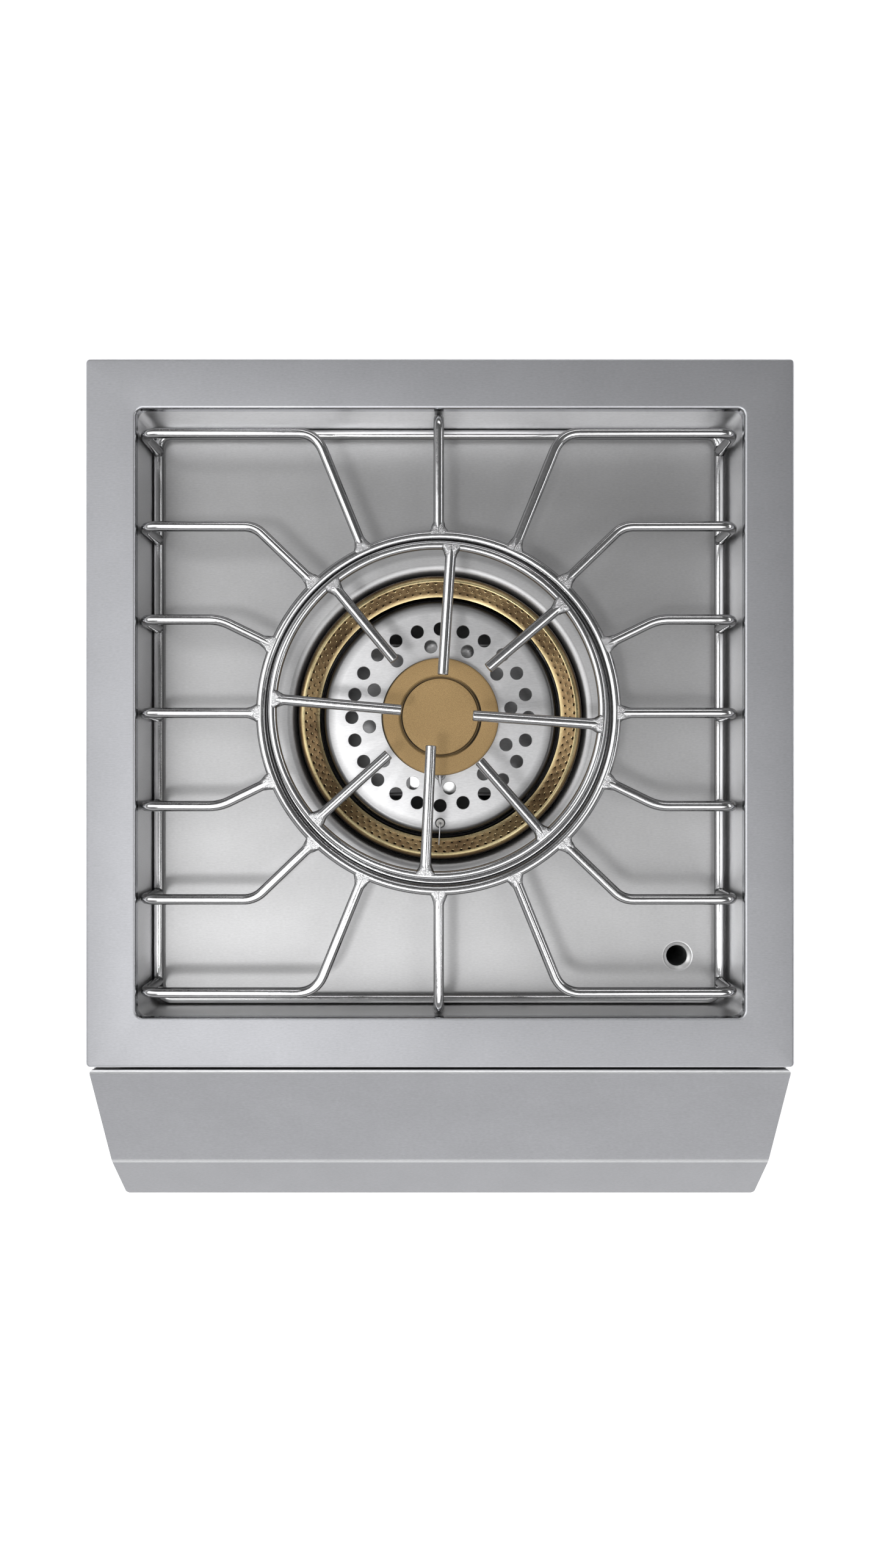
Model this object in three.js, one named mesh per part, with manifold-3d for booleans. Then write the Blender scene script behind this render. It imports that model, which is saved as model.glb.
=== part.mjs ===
// Built-in outdoor gas burner with a wide cooking grate: a steel deck with a recessed well, a welded
// rod grate with a loose trivet, a brass ring burner around a small centre burner, and a control box.
// Millimetres, +Z up, front towards -Y. The origin is the middle of the underside of the whole box.
import * as THREE from "three";
import { mergeVertices } from "three/addons/utils/BufferGeometryUtils.js";
import Module from "manifold-3d";

const wasm = await Module();
wasm.setup();

// ---------------------------------------------------------------- driving dimensions
const SHEET = 1.5; // thickness of the steel sheets
const GAP = 0.3; // clearance between pieces that touch
const DECK_SIZE = 508; // the deck is square
const DECK_TOP = 250;
const FRONT_REACH = 129; // how far the fascia stands out in front of the deck
const OVERALL_DEPTH = DECK_SIZE + FRONT_REACH;
const DECK_Y = (OVERALL_DEPTH - DECK_SIZE) / 2; // middle of the deck, and of the burner
const DECK_FRONT = DECK_Y - DECK_SIZE / 2;
const DECK_SKIRT = 18; // height of the deck's outer skirt
const DECK_RETURN = 14; // width of the flange that rests on the worktop
const DECK_BORDER = 36; // width of the deck around the opening
const LIP_DROP = 6; // height of the rolled lip round the opening
const WELL_HALF = DECK_SIZE / 2 - DECK_BORDER;
const WELL_CORNER = 5;
const WELL_FLOOR = DECK_TOP - 50;
const WELL_BEND = 3.5;

const DRAIN_X = 181; // drain hole, front right corner of the well
const DRAIN_Y = DECK_Y - 182;
const DRAIN_RADIUS = 7.9;
const DRAIN_DIMPLE = 11.6;

const ROD = 3.75; // radius of the grate rods
const THIN_ROD = 3.2; // radius of the trivet ring and its support ring
const GRATE_X = -1;
const GRATE_Y = DECK_Y + 0.2;
const GRATE_Z = DECK_TOP - 2;
const LOOP_Z = WELL_FLOOR + ROD + 0.25;
const LOOP_HALF_X = 212.6;
const LOOP_HALF_Y = 213.8;
const LOOP_CORNER = 10;
const RING_RADIUS = 127.3;
const SUPPORT_RADIUS = 121.5;
const SUPPORT_Z = GRATE_Z - 4.8;
const ROW_PITCH = 66.9;
const LEG_BEND = 12; // how far from its corner a rod starts to bend down to its foot
const ROW_BEND = 14; // the same for the bend towards the ring
// Side rods by row counted from the middle one: where the rod bends, and where it meets the ring,
// in degrees from the front-to-back line. The middle row runs straight in.
const SIDE_ROWS = [
  { row: 3, bendX: 88, angle: 24.8 },
  { row: 2, bendX: 132, angle: 43.9 },
  { row: 1, bendX: 157, angle: 67.9 },
  { row: 0, bendX: null, angle: 90 },
];

const TRIVET_X = -1.9;
const TRIVET_Y = DECK_Y + 1.9;
const TRIVET_RADIUS = 118.2;
const TRIVET_Z = GRATE_Z + 2;
const FINGER_ROD = 3.85;
const FINGER_Z = TRIVET_Z + 0.8;
const LONG_TIP = 25.6; // distance of a finger's tip from the trivet's middle
const SHORT_TIP = 47;
// Fingers clockwise from the back, in degrees: the weld on the ring, and the tip, which hand
// welding leaves a few degrees off the line to the middle.
const FINGERS = [
  { name: "n", weld: 4.8, tip: 8.8, reach: LONG_TIP },
  { name: "ne", weld: 49.8, tip: 50.2, reach: SHORT_TIP },
  { name: "e", weld: 95, tip: 98.4, reach: LONG_TIP },
  { name: "se", weld: 139.5, tip: 140.4, reach: SHORT_TIP },
  { name: "s", weld: 184.3, tip: 190.3, reach: LONG_TIP },
  { name: "sw", weld: 227.9, tip: 228, reach: SHORT_TIP },
  { name: "w", weld: 274, tip: 270.3, reach: LONG_TIP },
  { name: "nw", weld: 320.1, tip: 319.4, reach: SHORT_TIP },
];

const RING_HEAD_OUTER = 108.5;
const RING_HEAD_INNER = 92;
const RING_HEAD_CREST = WELL_FLOOR + 3;
const RING_HEAD_FOOT = WELL_FLOOR - 16;
const BURNER_HOLE = 110; // radius of the rolled hole in the well's floor
const BURNER_HOLE_ROLL = 6;
const BAFFLE_TOP = WELL_FLOOR + 1;
const BAFFLE_FLAT = 84;
const BAFFLE_ROLL = 5;
const BAFFLE_SHEET = 1.2;
const BAFFLE_HOLE = 4.9;
const BAFFLE_CENTRE_HOLE = 39;
const CAP_RADIUS = 44.4;
const CAP_STEP = 29.5;
const CAP_TOP = WELL_FLOOR + 12;
const IGNITER_Y = DECK_Y - 80.5;
const IGNITER_RADIUS = 3;
const IGNITER_HOLE = 3.9;
const CENTRE_ELECTRODE_Y = DECK_Y - 44;

const CASING_HALF = 235;
const CASING_BACK = DECK_Y + CASING_HALF;
const CASING_FRONT = DECK_FRONT - 0.7;
const VENT_OFFSETS = [-120, -40, 40, 120]; // middles of the cooling slots along each casing wall
const VENT_HALF = 30;
const VENT_Z = 120;
const VENT_HEIGHT = 8;

const FASCIA_TOP = { y: DECK_FRONT - 3, z: DECK_TOP - 6 };
const FASCIA_FOLD = { y: DECK_FRONT - 88.3, z: DECK_TOP - 60.8 };
const FASCIA_LIP = { y: DECK_FRONT - FRONT_REACH, z: DECK_TOP - 101.5 };
const FASCIA_RETURN = 18; // depth of the fold under the lip
const PANEL_Y = FASCIA_LIP.y + 30; // outer face of the control panel
const PANEL_BOTTOM = 38;
const PANEL_HALF = 250;
const CONTROL_X = 100; // distance of each knob from the middle
const CONTROL_Z = 95;
const MANIFOLD = { y: -240, z: 70, radius: 9 };
const INLET_X = 205;
const TUBE_MOUTH_Y = -222; // open end of both mixing tubes
const TUBE_RADIUS = 14;
const TUBE_BEND = 22;
const RING_TUBE_TOP = RING_HEAD_FOOT - GAP - 13; // inside the ring burner's channel
const CENTRE_NECK_FOOT = WELL_FLOOR - 20;
const STEM_START = MANIFOLD.y - 14; // where a stem leaves its valve
const KNOB_FRONT = PANEL_Y - 29;
const KNOB_DEPTH = 22;
const BUTTON_RADIUS = 8;
const TRAY_HALF = 200;
const TRAY_FLOOR = SHEET + GAP; // the tray slides on the casing's base
const TRAY_HEIGHT = 26;
const TRAY_BACK = 245;

// ---------------------------------------------------------------- materials
const steel = (color, roughness) =>
  new THREE.MeshStandardMaterial({ color, roughness, metalness: 1 });
const satinSteel = steel(0xb9babf, 0.38);
const wellSteel = steel(0xb4b5b6, 0.42);
const polishedSteel = steel(0xdcdde0, 0.12);
const baffleSteel = steel(0xd8d8d8, 0.3);
const galvanised = steel(0x9ea3a6, 0.5);
const brass = steel(0x8a7044, 0.4);
const fittingBrass = steel(0xb8963f, 0.35);
const castIron = steel(0x3a3b3d, 0.7);
const capBronze = new THREE.MeshStandardMaterial({ color: 0xa2895f, roughness: 0.7, metalness: 0.3 });
const ceramic = new THREE.MeshStandardMaterial({ color: 0xf0efe9, roughness: 0.35, metalness: 0 });
const blackPlastic = new THREE.MeshStandardMaterial({ color: 0x1b1b1c, roughness: 0.5, metalness: 0 });

// ---------------------------------------------------------------- geometry helpers
function toSolid(geometry) {
  const bare = geometry.clone();
  bare.deleteAttribute("normal");
  bare.deleteAttribute("uv");
  const merged = mergeVertices(bare, 1e-4);
  return new wasm.Manifold(
    new wasm.Mesh({
      numProp: 3,
      vertProperties: new Float32Array(merged.attributes.position.array),
      triVerts: new Uint32Array(merged.index.array),
    }),
  );
}

function toGeometry(solid) {
  const mesh = solid.getMesh();
  const geometry = new THREE.BufferGeometry();
  geometry.setAttribute("position", new THREE.BufferAttribute(new Float32Array(mesh.vertProperties), 3));
  geometry.setIndex(new THREE.BufferAttribute(new Uint32Array(mesh.triVerts), 1));
  geometry.computeVertexNormals();
  return geometry;
}

const join = (...parts) => toGeometry(parts.map(toSolid).reduce((whole, part) => whole.add(part)));

const cut = (body, ...tools) =>
  toGeometry(tools.map(toSolid).reduce((rest, tool) => rest.subtract(tool), toSolid(body)));

function box(low, high) {
  const [sizeX, sizeY, sizeZ] = low.map((value, axis) => high[axis] - value);
  const geometry = new THREE.BoxGeometry(sizeX, sizeY, sizeZ);
  return geometry.translate(low[0] + sizeX / 2, low[1] + sizeY / 2, low[2] + sizeZ / 2);
}

// A round bar along one axis, from `from` to `to` on that axis; `at` gives the two other coordinates.
function bar(axis, radius, from, to, at, sides = 16, endRadius = radius) {
  const geometry = new THREE.CylinderGeometry(endRadius, radius, to - from, sides);
  const middle = (from + to) / 2;
  if (axis === "x") return geometry.rotateZ(-Math.PI / 2).translate(middle, at[0], at[1]);
  if (axis === "z") return geometry.rotateX(Math.PI / 2).translate(at[0], at[1], middle);
  return geometry.translate(at[0], middle, at[1]);
}

// A profile of [radius, z] points turned about the vertical axis.
function turned(profile, sides = 36) {
  const points = profile.map(([radius, z]) => new THREE.Vector2(radius, z));
  return new THREE.LatheGeometry(points, sides).rotateX(Math.PI / 2);
}

// A closed profile of [radius, z] points, which ends where it starts.
const turnedLoop = (profile, sides) => turned([...profile, profile[0]], sides);

function arc(centre, radius, fromDegrees, toDegrees, steps) {
  return Array.from({ length: steps + 1 }, (_, step) => {
    const angle = THREE.MathUtils.degToRad(fromDegrees + ((toDegrees - fromDegrees) * step) / steps);
    return [centre[0] + radius * Math.cos(angle), centre[1] + radius * Math.sin(angle)];
  });
}

function roundedRectangle(halfX, halfY, radius, z, cornerSteps = 4) {
  const corners = [
    [1, 1, 0],
    [-1, 1, 90],
    [-1, -1, 180],
    [1, -1, 270],
  ];
  return corners.flatMap(([signX, signY, start]) =>
    arc([signX * (halfX - radius), signY * (halfY - radius)], radius, start, start + 90, cornerSteps).map(
      ([x, y]) => new THREE.Vector3(x, y, z),
    ),
  );
}

// A skin over rings of equal length. A closed stack joins its last ring to its first;
// an open one gets a flat end on both.
function loft(rings, closed) {
  const size = rings[0].length;
  const points = rings.flat();
  const faces = [];
  const joined = closed ? rings.length : rings.length - 1;
  for (let ring = 0; ring < joined; ring += 1) {
    const low = ring * size;
    const high = ((ring + 1) % rings.length) * size;
    for (let i = 0; i < size; i += 1) {
      const next = (i + 1) % size;
      faces.push(low + i, low + next, high + next, low + i, high + next, high + i);
    }
  }
  if (!closed) {
    const last = (rings.length - 1) * size;
    for (let i = 1; i < size - 1; i += 1) {
      faces.push(0, i + 1, i, last, last + i, last + i + 1);
    }
  }
  const geometry = new THREE.BufferGeometry().setFromPoints(points);
  geometry.setIndex(faces);
  return geometry;
}

// A path that stops at each of its own points, so that a rod gets a ring only where it bends.
class CornerPath extends THREE.Curve {
  constructor(points) {
    super();
    this.points = points;
  }

  getPoint(t) {
    const place = t * (this.points.length - 1);
    const index = Math.min(Math.floor(place), this.points.length - 2);
    return this.points[index].clone().lerp(this.points[index + 1], place - index);
  }

  getPointAt(u) {
    return this.getPoint(u);
  }

  getTangentAt(u) {
    const index = Math.round(u * (this.points.length - 1));
    const tangent = new THREE.Vector3();
    for (const start of [index - 1, index]) {
      if (start < 0 || start > this.points.length - 2) continue;
      tangent.add(this.points[start + 1].clone().sub(this.points[start]).normalize());
    }
    return tangent.normalize();
  }
}

// Corner points with every inner corner rounded; `reach` is how far from it the bend starts.
function bentPath(corners, reaches, steps = 4) {
  const points = [corners[0]];
  for (let i = 1; i < corners.length - 1; i += 1) {
    const before = corners[i - 1].clone().sub(corners[i]).setLength(reaches[i - 1]).add(corners[i]);
    const after = corners[i + 1].clone().sub(corners[i]).setLength(reaches[i - 1]).add(corners[i]);
    points.push(...new THREE.QuadraticBezierCurve3(before, corners[i], after).getPoints(steps));
  }
  points.push(corners.at(-1));
  return points;
}

function circle(radius, sides) {
  const shape = new THREE.Shape();
  arc([0, 0], radius, 0, 360, sides)
    .slice(0, -1)
    .forEach(([x, y], index) => (index ? shape.lineTo(x, y) : shape.moveTo(x, y)));
  return shape;
}

function rod(points, radius, sides = 8) {
  return new THREE.ExtrudeGeometry(circle(radius, sides), {
    extrudePath: new CornerPath(points),
    steps: points.length - 1,
    bevelEnabled: false,
  });
}

const straightRod = (from, to, radius) => rod([from, to], radius);

const vector = (x, y, z) => new THREE.Vector3(x, y, z);

// A point at a distance from the middle, at an angle clockwise from the back.
function polar(distance, degrees, z) {
  const angle = THREE.MathUtils.degToRad(degrees);
  return vector(distance * Math.sin(angle), distance * Math.cos(angle), z);
}

// The points of a bent line moved sideways by a distance, with mitred corners.
function offsetLine(line, distance) {
  const normals = line.slice(1).map(([y, z], index) => {
    const [previousY, previousZ] = line[index];
    const length = Math.hypot(y - previousY, z - previousZ);
    return [-(z - previousZ) / length, (y - previousY) / length];
  });
  return line.map(([y, z], index) => {
    const first = normals[Math.max(index - 1, 0)];
    const second = normals[Math.min(index, normals.length - 1)];
    const mitre = 1 + first[0] * second[0] + first[1] * second[1];
    return [
      y + (distance * (first[0] + second[0])) / mitre,
      z + (distance * (first[1] + second[1])) / mitre,
    ];
  });
}

// An outline of [y, z] points stretched along X from one value to another.
function alongX(outline, fromX, toX) {
  const shape = new THREE.Shape(outline.map(([y, z]) => new THREE.Vector2(y, z)));
  const geometry = new THREE.ExtrudeGeometry(shape, { depth: toX - fromX, bevelEnabled: false });
  return geometry.rotateX(Math.PI / 2).rotateZ(Math.PI / 2).translate(fromX, 0, 0);
}

// A folded sheet along X: the line is one face, and the sheet lies on its left.
const foldedSheet = (line, thickness, fromX, toX) =>
  alongX([...line, ...offsetLine(line, thickness).reverse()], fromX, toX);

// ---------------------------------------------------------------- deck and well
function deckFrame() {
  const top = DECK_TOP;
  const lip = DECK_BORDER;
  const low = top - DECK_SKIRT;
  const soft = SHEET * 0.3;
  const section = [
    [0, low],
    [0, top - SHEET],
    [soft, top - soft],
    [SHEET, top],
    [lip - SHEET, top],
    [lip - soft, top - soft],
    [lip, top - SHEET],
    [lip, top - LIP_DROP],
    [lip - SHEET, top - LIP_DROP],
    [lip - SHEET, top - SHEET],
    [SHEET, top - SHEET],
    [SHEET, low + SHEET],
    [DECK_RETURN, low + SHEET],
    [DECK_RETURN, low],
  ];
  const rings = section.map(([inset, z]) => {
    const half = DECK_SIZE / 2 - inset;
    const corner = inset > DECK_RETURN ? WELL_CORNER + lip - inset : Math.max(1.2, 3 - inset);
    return roundedRectangle(half, half, corner, z);
  });
  return loft(rings, true).translate(0, DECK_Y, 0);
}

// A turned edge whose section bends from the floor down into a neck.
function rolledEdge(neckRadius, roll, depth) {
  const centre = [neckRadius + roll, WELL_FLOOR - roll];
  return turnedLoop([
    [neckRadius, WELL_FLOOR - depth],
    [neckRadius + SHEET, WELL_FLOOR - depth],
    ...arc(centre, roll - SHEET, 180, 90, 4),
    [neckRadius + roll + 1, WELL_FLOOR - SHEET],
    [neckRadius + roll + 1, WELL_FLOOR],
    ...arc(centre, roll, 90, 180, 4),
  ]);
}

function drainDimple() {
  return turnedLoop(
    [
      [DRAIN_RADIUS, WELL_FLOOR - 3.7],
      [DRAIN_RADIUS + 2, WELL_FLOOR - 3.7],
      [DRAIN_DIMPLE + 1, WELL_FLOOR - SHEET],
      [DRAIN_DIMPLE + 1, WELL_FLOOR],
      [DRAIN_DIMPLE, WELL_FLOOR],
      [DRAIN_RADIUS + 1.4, WELL_FLOOR - 2.2],
      [DRAIN_RADIUS, WELL_FLOOR - 2.2],
    ],
    20,
  ).translate(DRAIN_X, DRAIN_Y - DECK_Y, 0);
}

function wellPan() {
  const rim = DECK_TOP - LIP_DROP - GAP;
  const bendZ = WELL_FLOOR + WELL_BEND;
  const bendInset = WELL_HALF - WELL_BEND;
  const outerBend = arc([bendInset, bendZ], WELL_BEND + SHEET, -90, 0, 3);
  const innerBend = arc([bendInset, bendZ], WELL_BEND, 0, -90, 3);
  const wall = [...outerBend, [WELL_HALF + SHEET, rim], [WELL_HALF, rim], ...innerBend];
  const rings = wall.map(([half, z]) => {
    const corner = WELL_CORNER + half - WELL_HALF;
    return roundedRectangle(half, half, Math.max(corner, 1), z);
  });
  const tray = loft(rings, false);
  const burnerHole = bar("z", BURNER_HOLE + BURNER_HOLE_ROLL, WELL_FLOOR - 9, WELL_FLOOR + 9, [0, 0], 40);
  const drainHole = bar("z", DRAIN_DIMPLE, WELL_FLOOR - 9, WELL_FLOOR + 9, [DRAIN_X, DRAIN_Y - DECK_Y], 20);
  const edge = rolledEdge(BURNER_HOLE, BURNER_HOLE_ROLL, 14);
  return join(cut(tray, burnerHole, drainHole), edge, drainDimple()).translate(0, DECK_Y, 0);
}

const drainTube = () =>
  cut(
    bar("z", DRAIN_RADIUS + SHEET, 45, WELL_FLOOR - 4, [DRAIN_X, DRAIN_Y]),
    bar("z", DRAIN_RADIUS, 44, WELL_FLOOR, [DRAIN_X, DRAIN_Y]),
  );

// ---------------------------------------------------------------- grate and trivet
function baseLoop() {
  const section = arc([0, 0], ROD, 0, 315, 7);
  const rings = section.map(([side, height]) =>
    roundedRectangle(LOOP_HALF_X + side, LOOP_HALF_Y + side, LOOP_CORNER + side, LOOP_Z + height, 3),
  );
  return loft(rings, true);
}

function ring(radius, rodRadius, z) {
  return new THREE.TorusGeometry(radius, rodRadius, 8, 40).translate(0, 0, z);
}

function sideRod(side, end, { row, bendX, angle }) {
  const y = end * row * ROW_PITCH;
  const degrees = end > 0 ? angle : 180 - angle;
  const weld = polar(RING_RADIUS + ROD + GAP, degrees, GRATE_Z);
  weld.x *= side;
  const leg = [
    vector(side * LOOP_HALF_X, y, LOOP_Z + ROD + GAP),
    vector(side * LOOP_HALF_X, y, GRATE_Z),
  ];
  if (bendX === null) return rod(bentPath([...leg, weld], [LEG_BEND]), ROD);
  const corners = [...leg, vector(side * bendX, y, GRATE_Z), weld];
  return rod(bentPath(corners, [LEG_BEND, ROW_BEND]), ROD);
}

function middleRod(end) {
  const y = end * LOOP_HALF_Y;
  const corners = [
    vector(0, y, LOOP_Z + ROD + GAP),
    vector(0, y, GRATE_Z),
    vector(0, end * (RING_RADIUS + ROD + GAP), GRATE_Z),
  ];
  return rod(bentPath(corners, [LEG_BEND]), ROD);
}

function trivetFinger({ weld, tip, reach }) {
  return straightRod(
    polar(TRIVET_RADIUS - THIN_ROD - GAP - 0.5, weld, FINGER_Z),
    polar(reach, tip, FINGER_Z),
    FINGER_ROD,
  );
}

// ---------------------------------------------------------------- burner
function ringBurnerHead() {
  const outer = RING_HEAD_OUTER;
  const inner = RING_HEAD_INNER;
  const crest = RING_HEAD_CREST;
  const wall = 2;
  return turnedLoop([
    [outer - wall, RING_HEAD_FOOT],
    [outer, RING_HEAD_FOOT],
    ...arc([outer - 6, crest - 6], 6, 0, 90, 4),
    [outer - 9, crest - 0.6],
    [inner + 2, crest - 6.5],
    [inner, crest - 9],
    [inner, RING_HEAD_FOOT],
    [inner + wall, RING_HEAD_FOOT],
    [inner + wall, crest - 9.5],
    [outer - 9, crest - 3.5],
    [outer - 6, crest - 2.6],
    [outer - wall, crest - 6],
  ]);
}

function ringBurnerBase() {
  const top = RING_HEAD_FOOT - GAP;
  const channel = turnedLoop([
    [RING_HEAD_INNER - 1, top - 16],
    [RING_HEAD_OUTER + 0.5, top - 16],
    [RING_HEAD_OUTER + 0.5, top],
    [RING_HEAD_OUTER - 3, top],
    [RING_HEAD_OUTER - 3, top - 12],
    [RING_HEAD_INNER + 3, top - 12],
    [RING_HEAD_INNER + 3, top],
    [RING_HEAD_INNER - 1, top],
  ]);
  const tube = mixingTube([
    vector(-CONTROL_X, TUBE_MOUTH_Y - DECK_Y, CONTROL_Z),
    vector(-CONTROL_X, 0, CONTROL_Z),
    vector(-CONTROL_X, 0, RING_TUBE_TOP),
  ]);
  return join(channel, tube);
}

// Two facing openings in the sides of a tube, just behind its mouth, that let air in.
function airWindows(x, mouth) {
  return [-TUBE_RADIUS, TUBE_RADIUS].map((wall) =>
    box([x + wall - 6, mouth + 6, CONTROL_Z - 6], [x + wall + 6, mouth + 20, CONTROL_Z + 6]),
  );
}

// A burner's mixing tube along its corners, of which the first is its open mouth.
function mixingTube(corners) {
  const [{ x, y: mouth }] = corners;
  const bends = corners.slice(2).map(() => TUBE_BEND);
  const body = rod(bentPath(corners, bends), TUBE_RADIUS, 12);
  const bore = bar("y", TUBE_RADIUS - 2, mouth - 5, mouth + 45, [x, CONTROL_Z], 12);
  return cut(body, bore, ...airWindows(x, mouth));
}

const centreMixingTube = () =>
  mixingTube([
    vector(CONTROL_X, TUBE_MOUTH_Y - DECK_Y, CONTROL_Z),
    vector(CONTROL_X, -100, CONTROL_Z),
    vector(0, -14, CONTROL_Z),
    vector(0, 0, CONTROL_Z + 26),
    vector(0, 0, CENTRE_NECK_FOOT - GAP),
  ]);

function airShutter(x) {
  const sleeve = cut(
    bar("y", TUBE_RADIUS + 2.2, TUBE_MOUTH_Y + 2, TUBE_MOUTH_Y + 24, [x, CONTROL_Z], 16),
    bar("y", TUBE_RADIUS + 0.6, TUBE_MOUTH_Y - 2, TUBE_MOUTH_Y + 30, [x, CONTROL_Z], 16),
  );
  return cut(sleeve, ...airWindows(x, TUBE_MOUTH_Y));
}

function centreBurner() {
  const head = turned(
    [
      [0, CENTRE_NECK_FOOT],
      [13, CENTRE_NECK_FOOT],
      [15, WELL_FLOOR - 10],
      [34, WELL_FLOOR - 1],
      [36, WELL_FLOOR + 4.5],
      [0, WELL_FLOOR + 4.5],
    ],
    32,
  );
  const plate = box([-25, -54, WELL_FLOOR - 8], [25, 54, WELL_FLOOR - 6]);
  return join(head, plate);
}

function burnerCap() {
  const base = CAP_TOP - 7.2;
  return turned(
    [
      [0, base],
      [CAP_RADIUS - 2, base],
      ...arc([CAP_RADIUS - 2.5, CAP_TOP - 3.5], 2.5, -45, 90, 4),
      [CAP_STEP + 1.6, CAP_TOP - 1],
      [CAP_STEP, CAP_TOP - 2.2],
      [CAP_STEP - 0.8, CAP_TOP - 0.6],
      [CAP_STEP - 2.4, CAP_TOP],
      [0, CAP_TOP],
    ],
    40,
  );
}

function baffleDisc() {
  const rollCentre = [BAFFLE_FLAT, BAFFLE_TOP - BAFFLE_ROLL];
  const disc = turnedLoop([
    [BAFFLE_CENTRE_HOLE, BAFFLE_TOP - BAFFLE_SHEET],
    ...arc(rollCentre, BAFFLE_ROLL - BAFFLE_SHEET, 90, 0, 2),
    [BAFFLE_FLAT + BAFFLE_ROLL - BAFFLE_SHEET, BAFFLE_TOP - 12],
    [BAFFLE_FLAT + BAFFLE_ROLL, BAFFLE_TOP - 12],
    ...arc(rollCentre, BAFFLE_ROLL, 0, 90, 2),
    [BAFFLE_CENTRE_HOLE, BAFFLE_TOP],
  ]);
  const rows = [
    { count: 24, distance: 67.3, start: 0 },
    { count: 12, distance: 54.3, start: -7.5 },
  ];
  const holeAt = (place, radius, sides) =>
    bar("z", radius, BAFFLE_TOP - 4, BAFFLE_TOP + 4, [place.x, place.y], sides);
  const holes = rows.flatMap(({ count, distance, start }) =>
    Array.from({ length: count }, (_, index) =>
      holeAt(polar(distance, start + (index * 360) / count, 0), BAFFLE_HOLE, 8),
    ),
  );
  return cut(disc, ...holes, holeAt(vector(0, IGNITER_Y - DECK_Y, 0), IGNITER_HOLE, 10));
}

// A channel under the burner, standing on the casing's sides.
function burnerBracket() {
  const floor = WELL_FLOOR - 36;
  const half = CASING_HALF - SHEET - GAP;
  const channel = foldedSheet(
    [
      [60, floor + 22],
      [60, floor],
      [-60, floor],
      [-60, floor + 22],
    ],
    -SHEET,
    -half,
    half,
  );
  const tubeHole = bar("z", 18, floor - 5, floor + 5, [0, 0], 16);
  const ringTubeHole = bar("z", 18, floor - 5, floor + 5, [-CONTROL_X, 0], 16);
  const ringRoom = bar("z", RING_HEAD_OUTER + 2.5, floor + 3, floor + 40, [0, 0], 40);
  return cut(channel, tubeHole, ringTubeHole, ringRoom);
}

function igniterCeramic() {
  const foot = WELL_FLOOR - 48;
  return join(
    bar("z", IGNITER_RADIUS, foot, WELL_FLOOR + 5, [0, IGNITER_Y], 12),
    bar("z", 5, foot, foot + 10, [0, IGNITER_Y], 12),
  );
}

function igniterWire() {
  const start = WELL_FLOOR + 5 + GAP;
  const corners = [
    vector(0, IGNITER_Y, start),
    vector(0, IGNITER_Y, start + 4),
    vector(-1, DECK_Y - 97, start + 2.5),
  ];
  return rod(bentPath(corners, [1.6]), 0.8, 6);
}

function centreElectrode() {
  const foot = BAFFLE_TOP + GAP;
  const boss = bar("z", 4.2, foot, foot + 2.6, [0, CENTRE_ELECTRODE_Y], 12);
  const point = bar("y", 0.4, -53 + DECK_Y, CENTRE_ELECTRODE_Y, [0, foot + 1.6], 8, 1.4);
  return join(boss, point);
}

// ---------------------------------------------------------------- casing and control box
function casingWrap() {
  const outer = CASING_HALF;
  const top = DECK_TOP - SHEET - GAP;
  const flangeBack = DECK_FRONT + DECK_RETURN + GAP;
  const flangeUnderside = DECK_TOP - DECK_SKIRT - GAP;
  const shell = cut(
    box([-outer, CASING_FRONT, 0], [outer, CASING_BACK, top]),
    box([-outer + SHEET, CASING_FRONT - 1, -1], [outer - SHEET, CASING_BACK - SHEET, top + 1]),
    box([-outer - 1, CASING_FRONT - 1, flangeUnderside], [outer + 1, flangeBack, top + 1]),
  );
  const ventTop = VENT_Z + VENT_HEIGHT;
  const sideVents = [-outer, outer].flatMap((x) =>
    VENT_OFFSETS.map((offset) =>
      box(
        [x - 4, DECK_Y + offset - VENT_HALF, VENT_Z],
        [x + 4, DECK_Y + offset + VENT_HALF, ventTop],
      ),
    ),
  );
  const rearVents = VENT_OFFSETS.map((offset) =>
    box(
      [offset - VENT_HALF, CASING_BACK - 4, VENT_Z],
      [offset + VENT_HALF, CASING_BACK + 4, ventTop],
    ),
  );
  const inletHole = bar("y", 13, CASING_BACK - 5, CASING_BACK + 5, [INLET_X, MANIFOLD.z]);
  return cut(shell, ...sideVents, ...rearVents, inletHole);
}

function casingBase() {
  const half = CASING_HALF - SHEET - GAP;
  const outside = [
    [-half, 22],
    [-half, 0],
    [half, 0],
    [half, 22],
  ];
  const back = CASING_BACK - SHEET - GAP;
  return foldedSheet(outside, SHEET, PANEL_Y + 4, back).rotateZ(Math.PI / 2);
}

// The fascia's outer face from its rear flange over both slopes to the fold under the lip.
const FASCIA_LINE = [
  [FASCIA_TOP.y, FASCIA_TOP.z - 9],
  [FASCIA_TOP.y, FASCIA_TOP.z - 1.2],
  [FASCIA_TOP.y - 1.5, FASCIA_TOP.z - 0.6],
  [FASCIA_FOLD.y, FASCIA_FOLD.z],
  [FASCIA_LIP.y, FASCIA_LIP.z],
  [FASCIA_LIP.y + FASCIA_RETURN, FASCIA_LIP.z],
];

function fascia() {
  const half = DECK_SIZE / 2;
  const sheet = foldedSheet(FASCIA_LINE, SHEET, -half, half);
  const trimmed = [-1, 1].map((side) => {
    const corner = new THREE.Shape([
      new THREE.Vector2(side * (half - 9), FASCIA_LIP.y - 1),
      new THREE.Vector2(side * (half - 3), FASCIA_LIP.y + 1.6),
      new THREE.Vector2(side * half, FASCIA_LIP.y + 6),
      new THREE.Vector2(side * (half + 2), FASCIA_LIP.y - 1),
    ]);
    return new THREE.ExtrudeGeometry(corner, { depth: 40, bevelEnabled: false }).translate(
      0,
      0,
      FASCIA_LIP.z - 10,
    );
  });
  return cut(sheet, ...trimmed);
}

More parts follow.
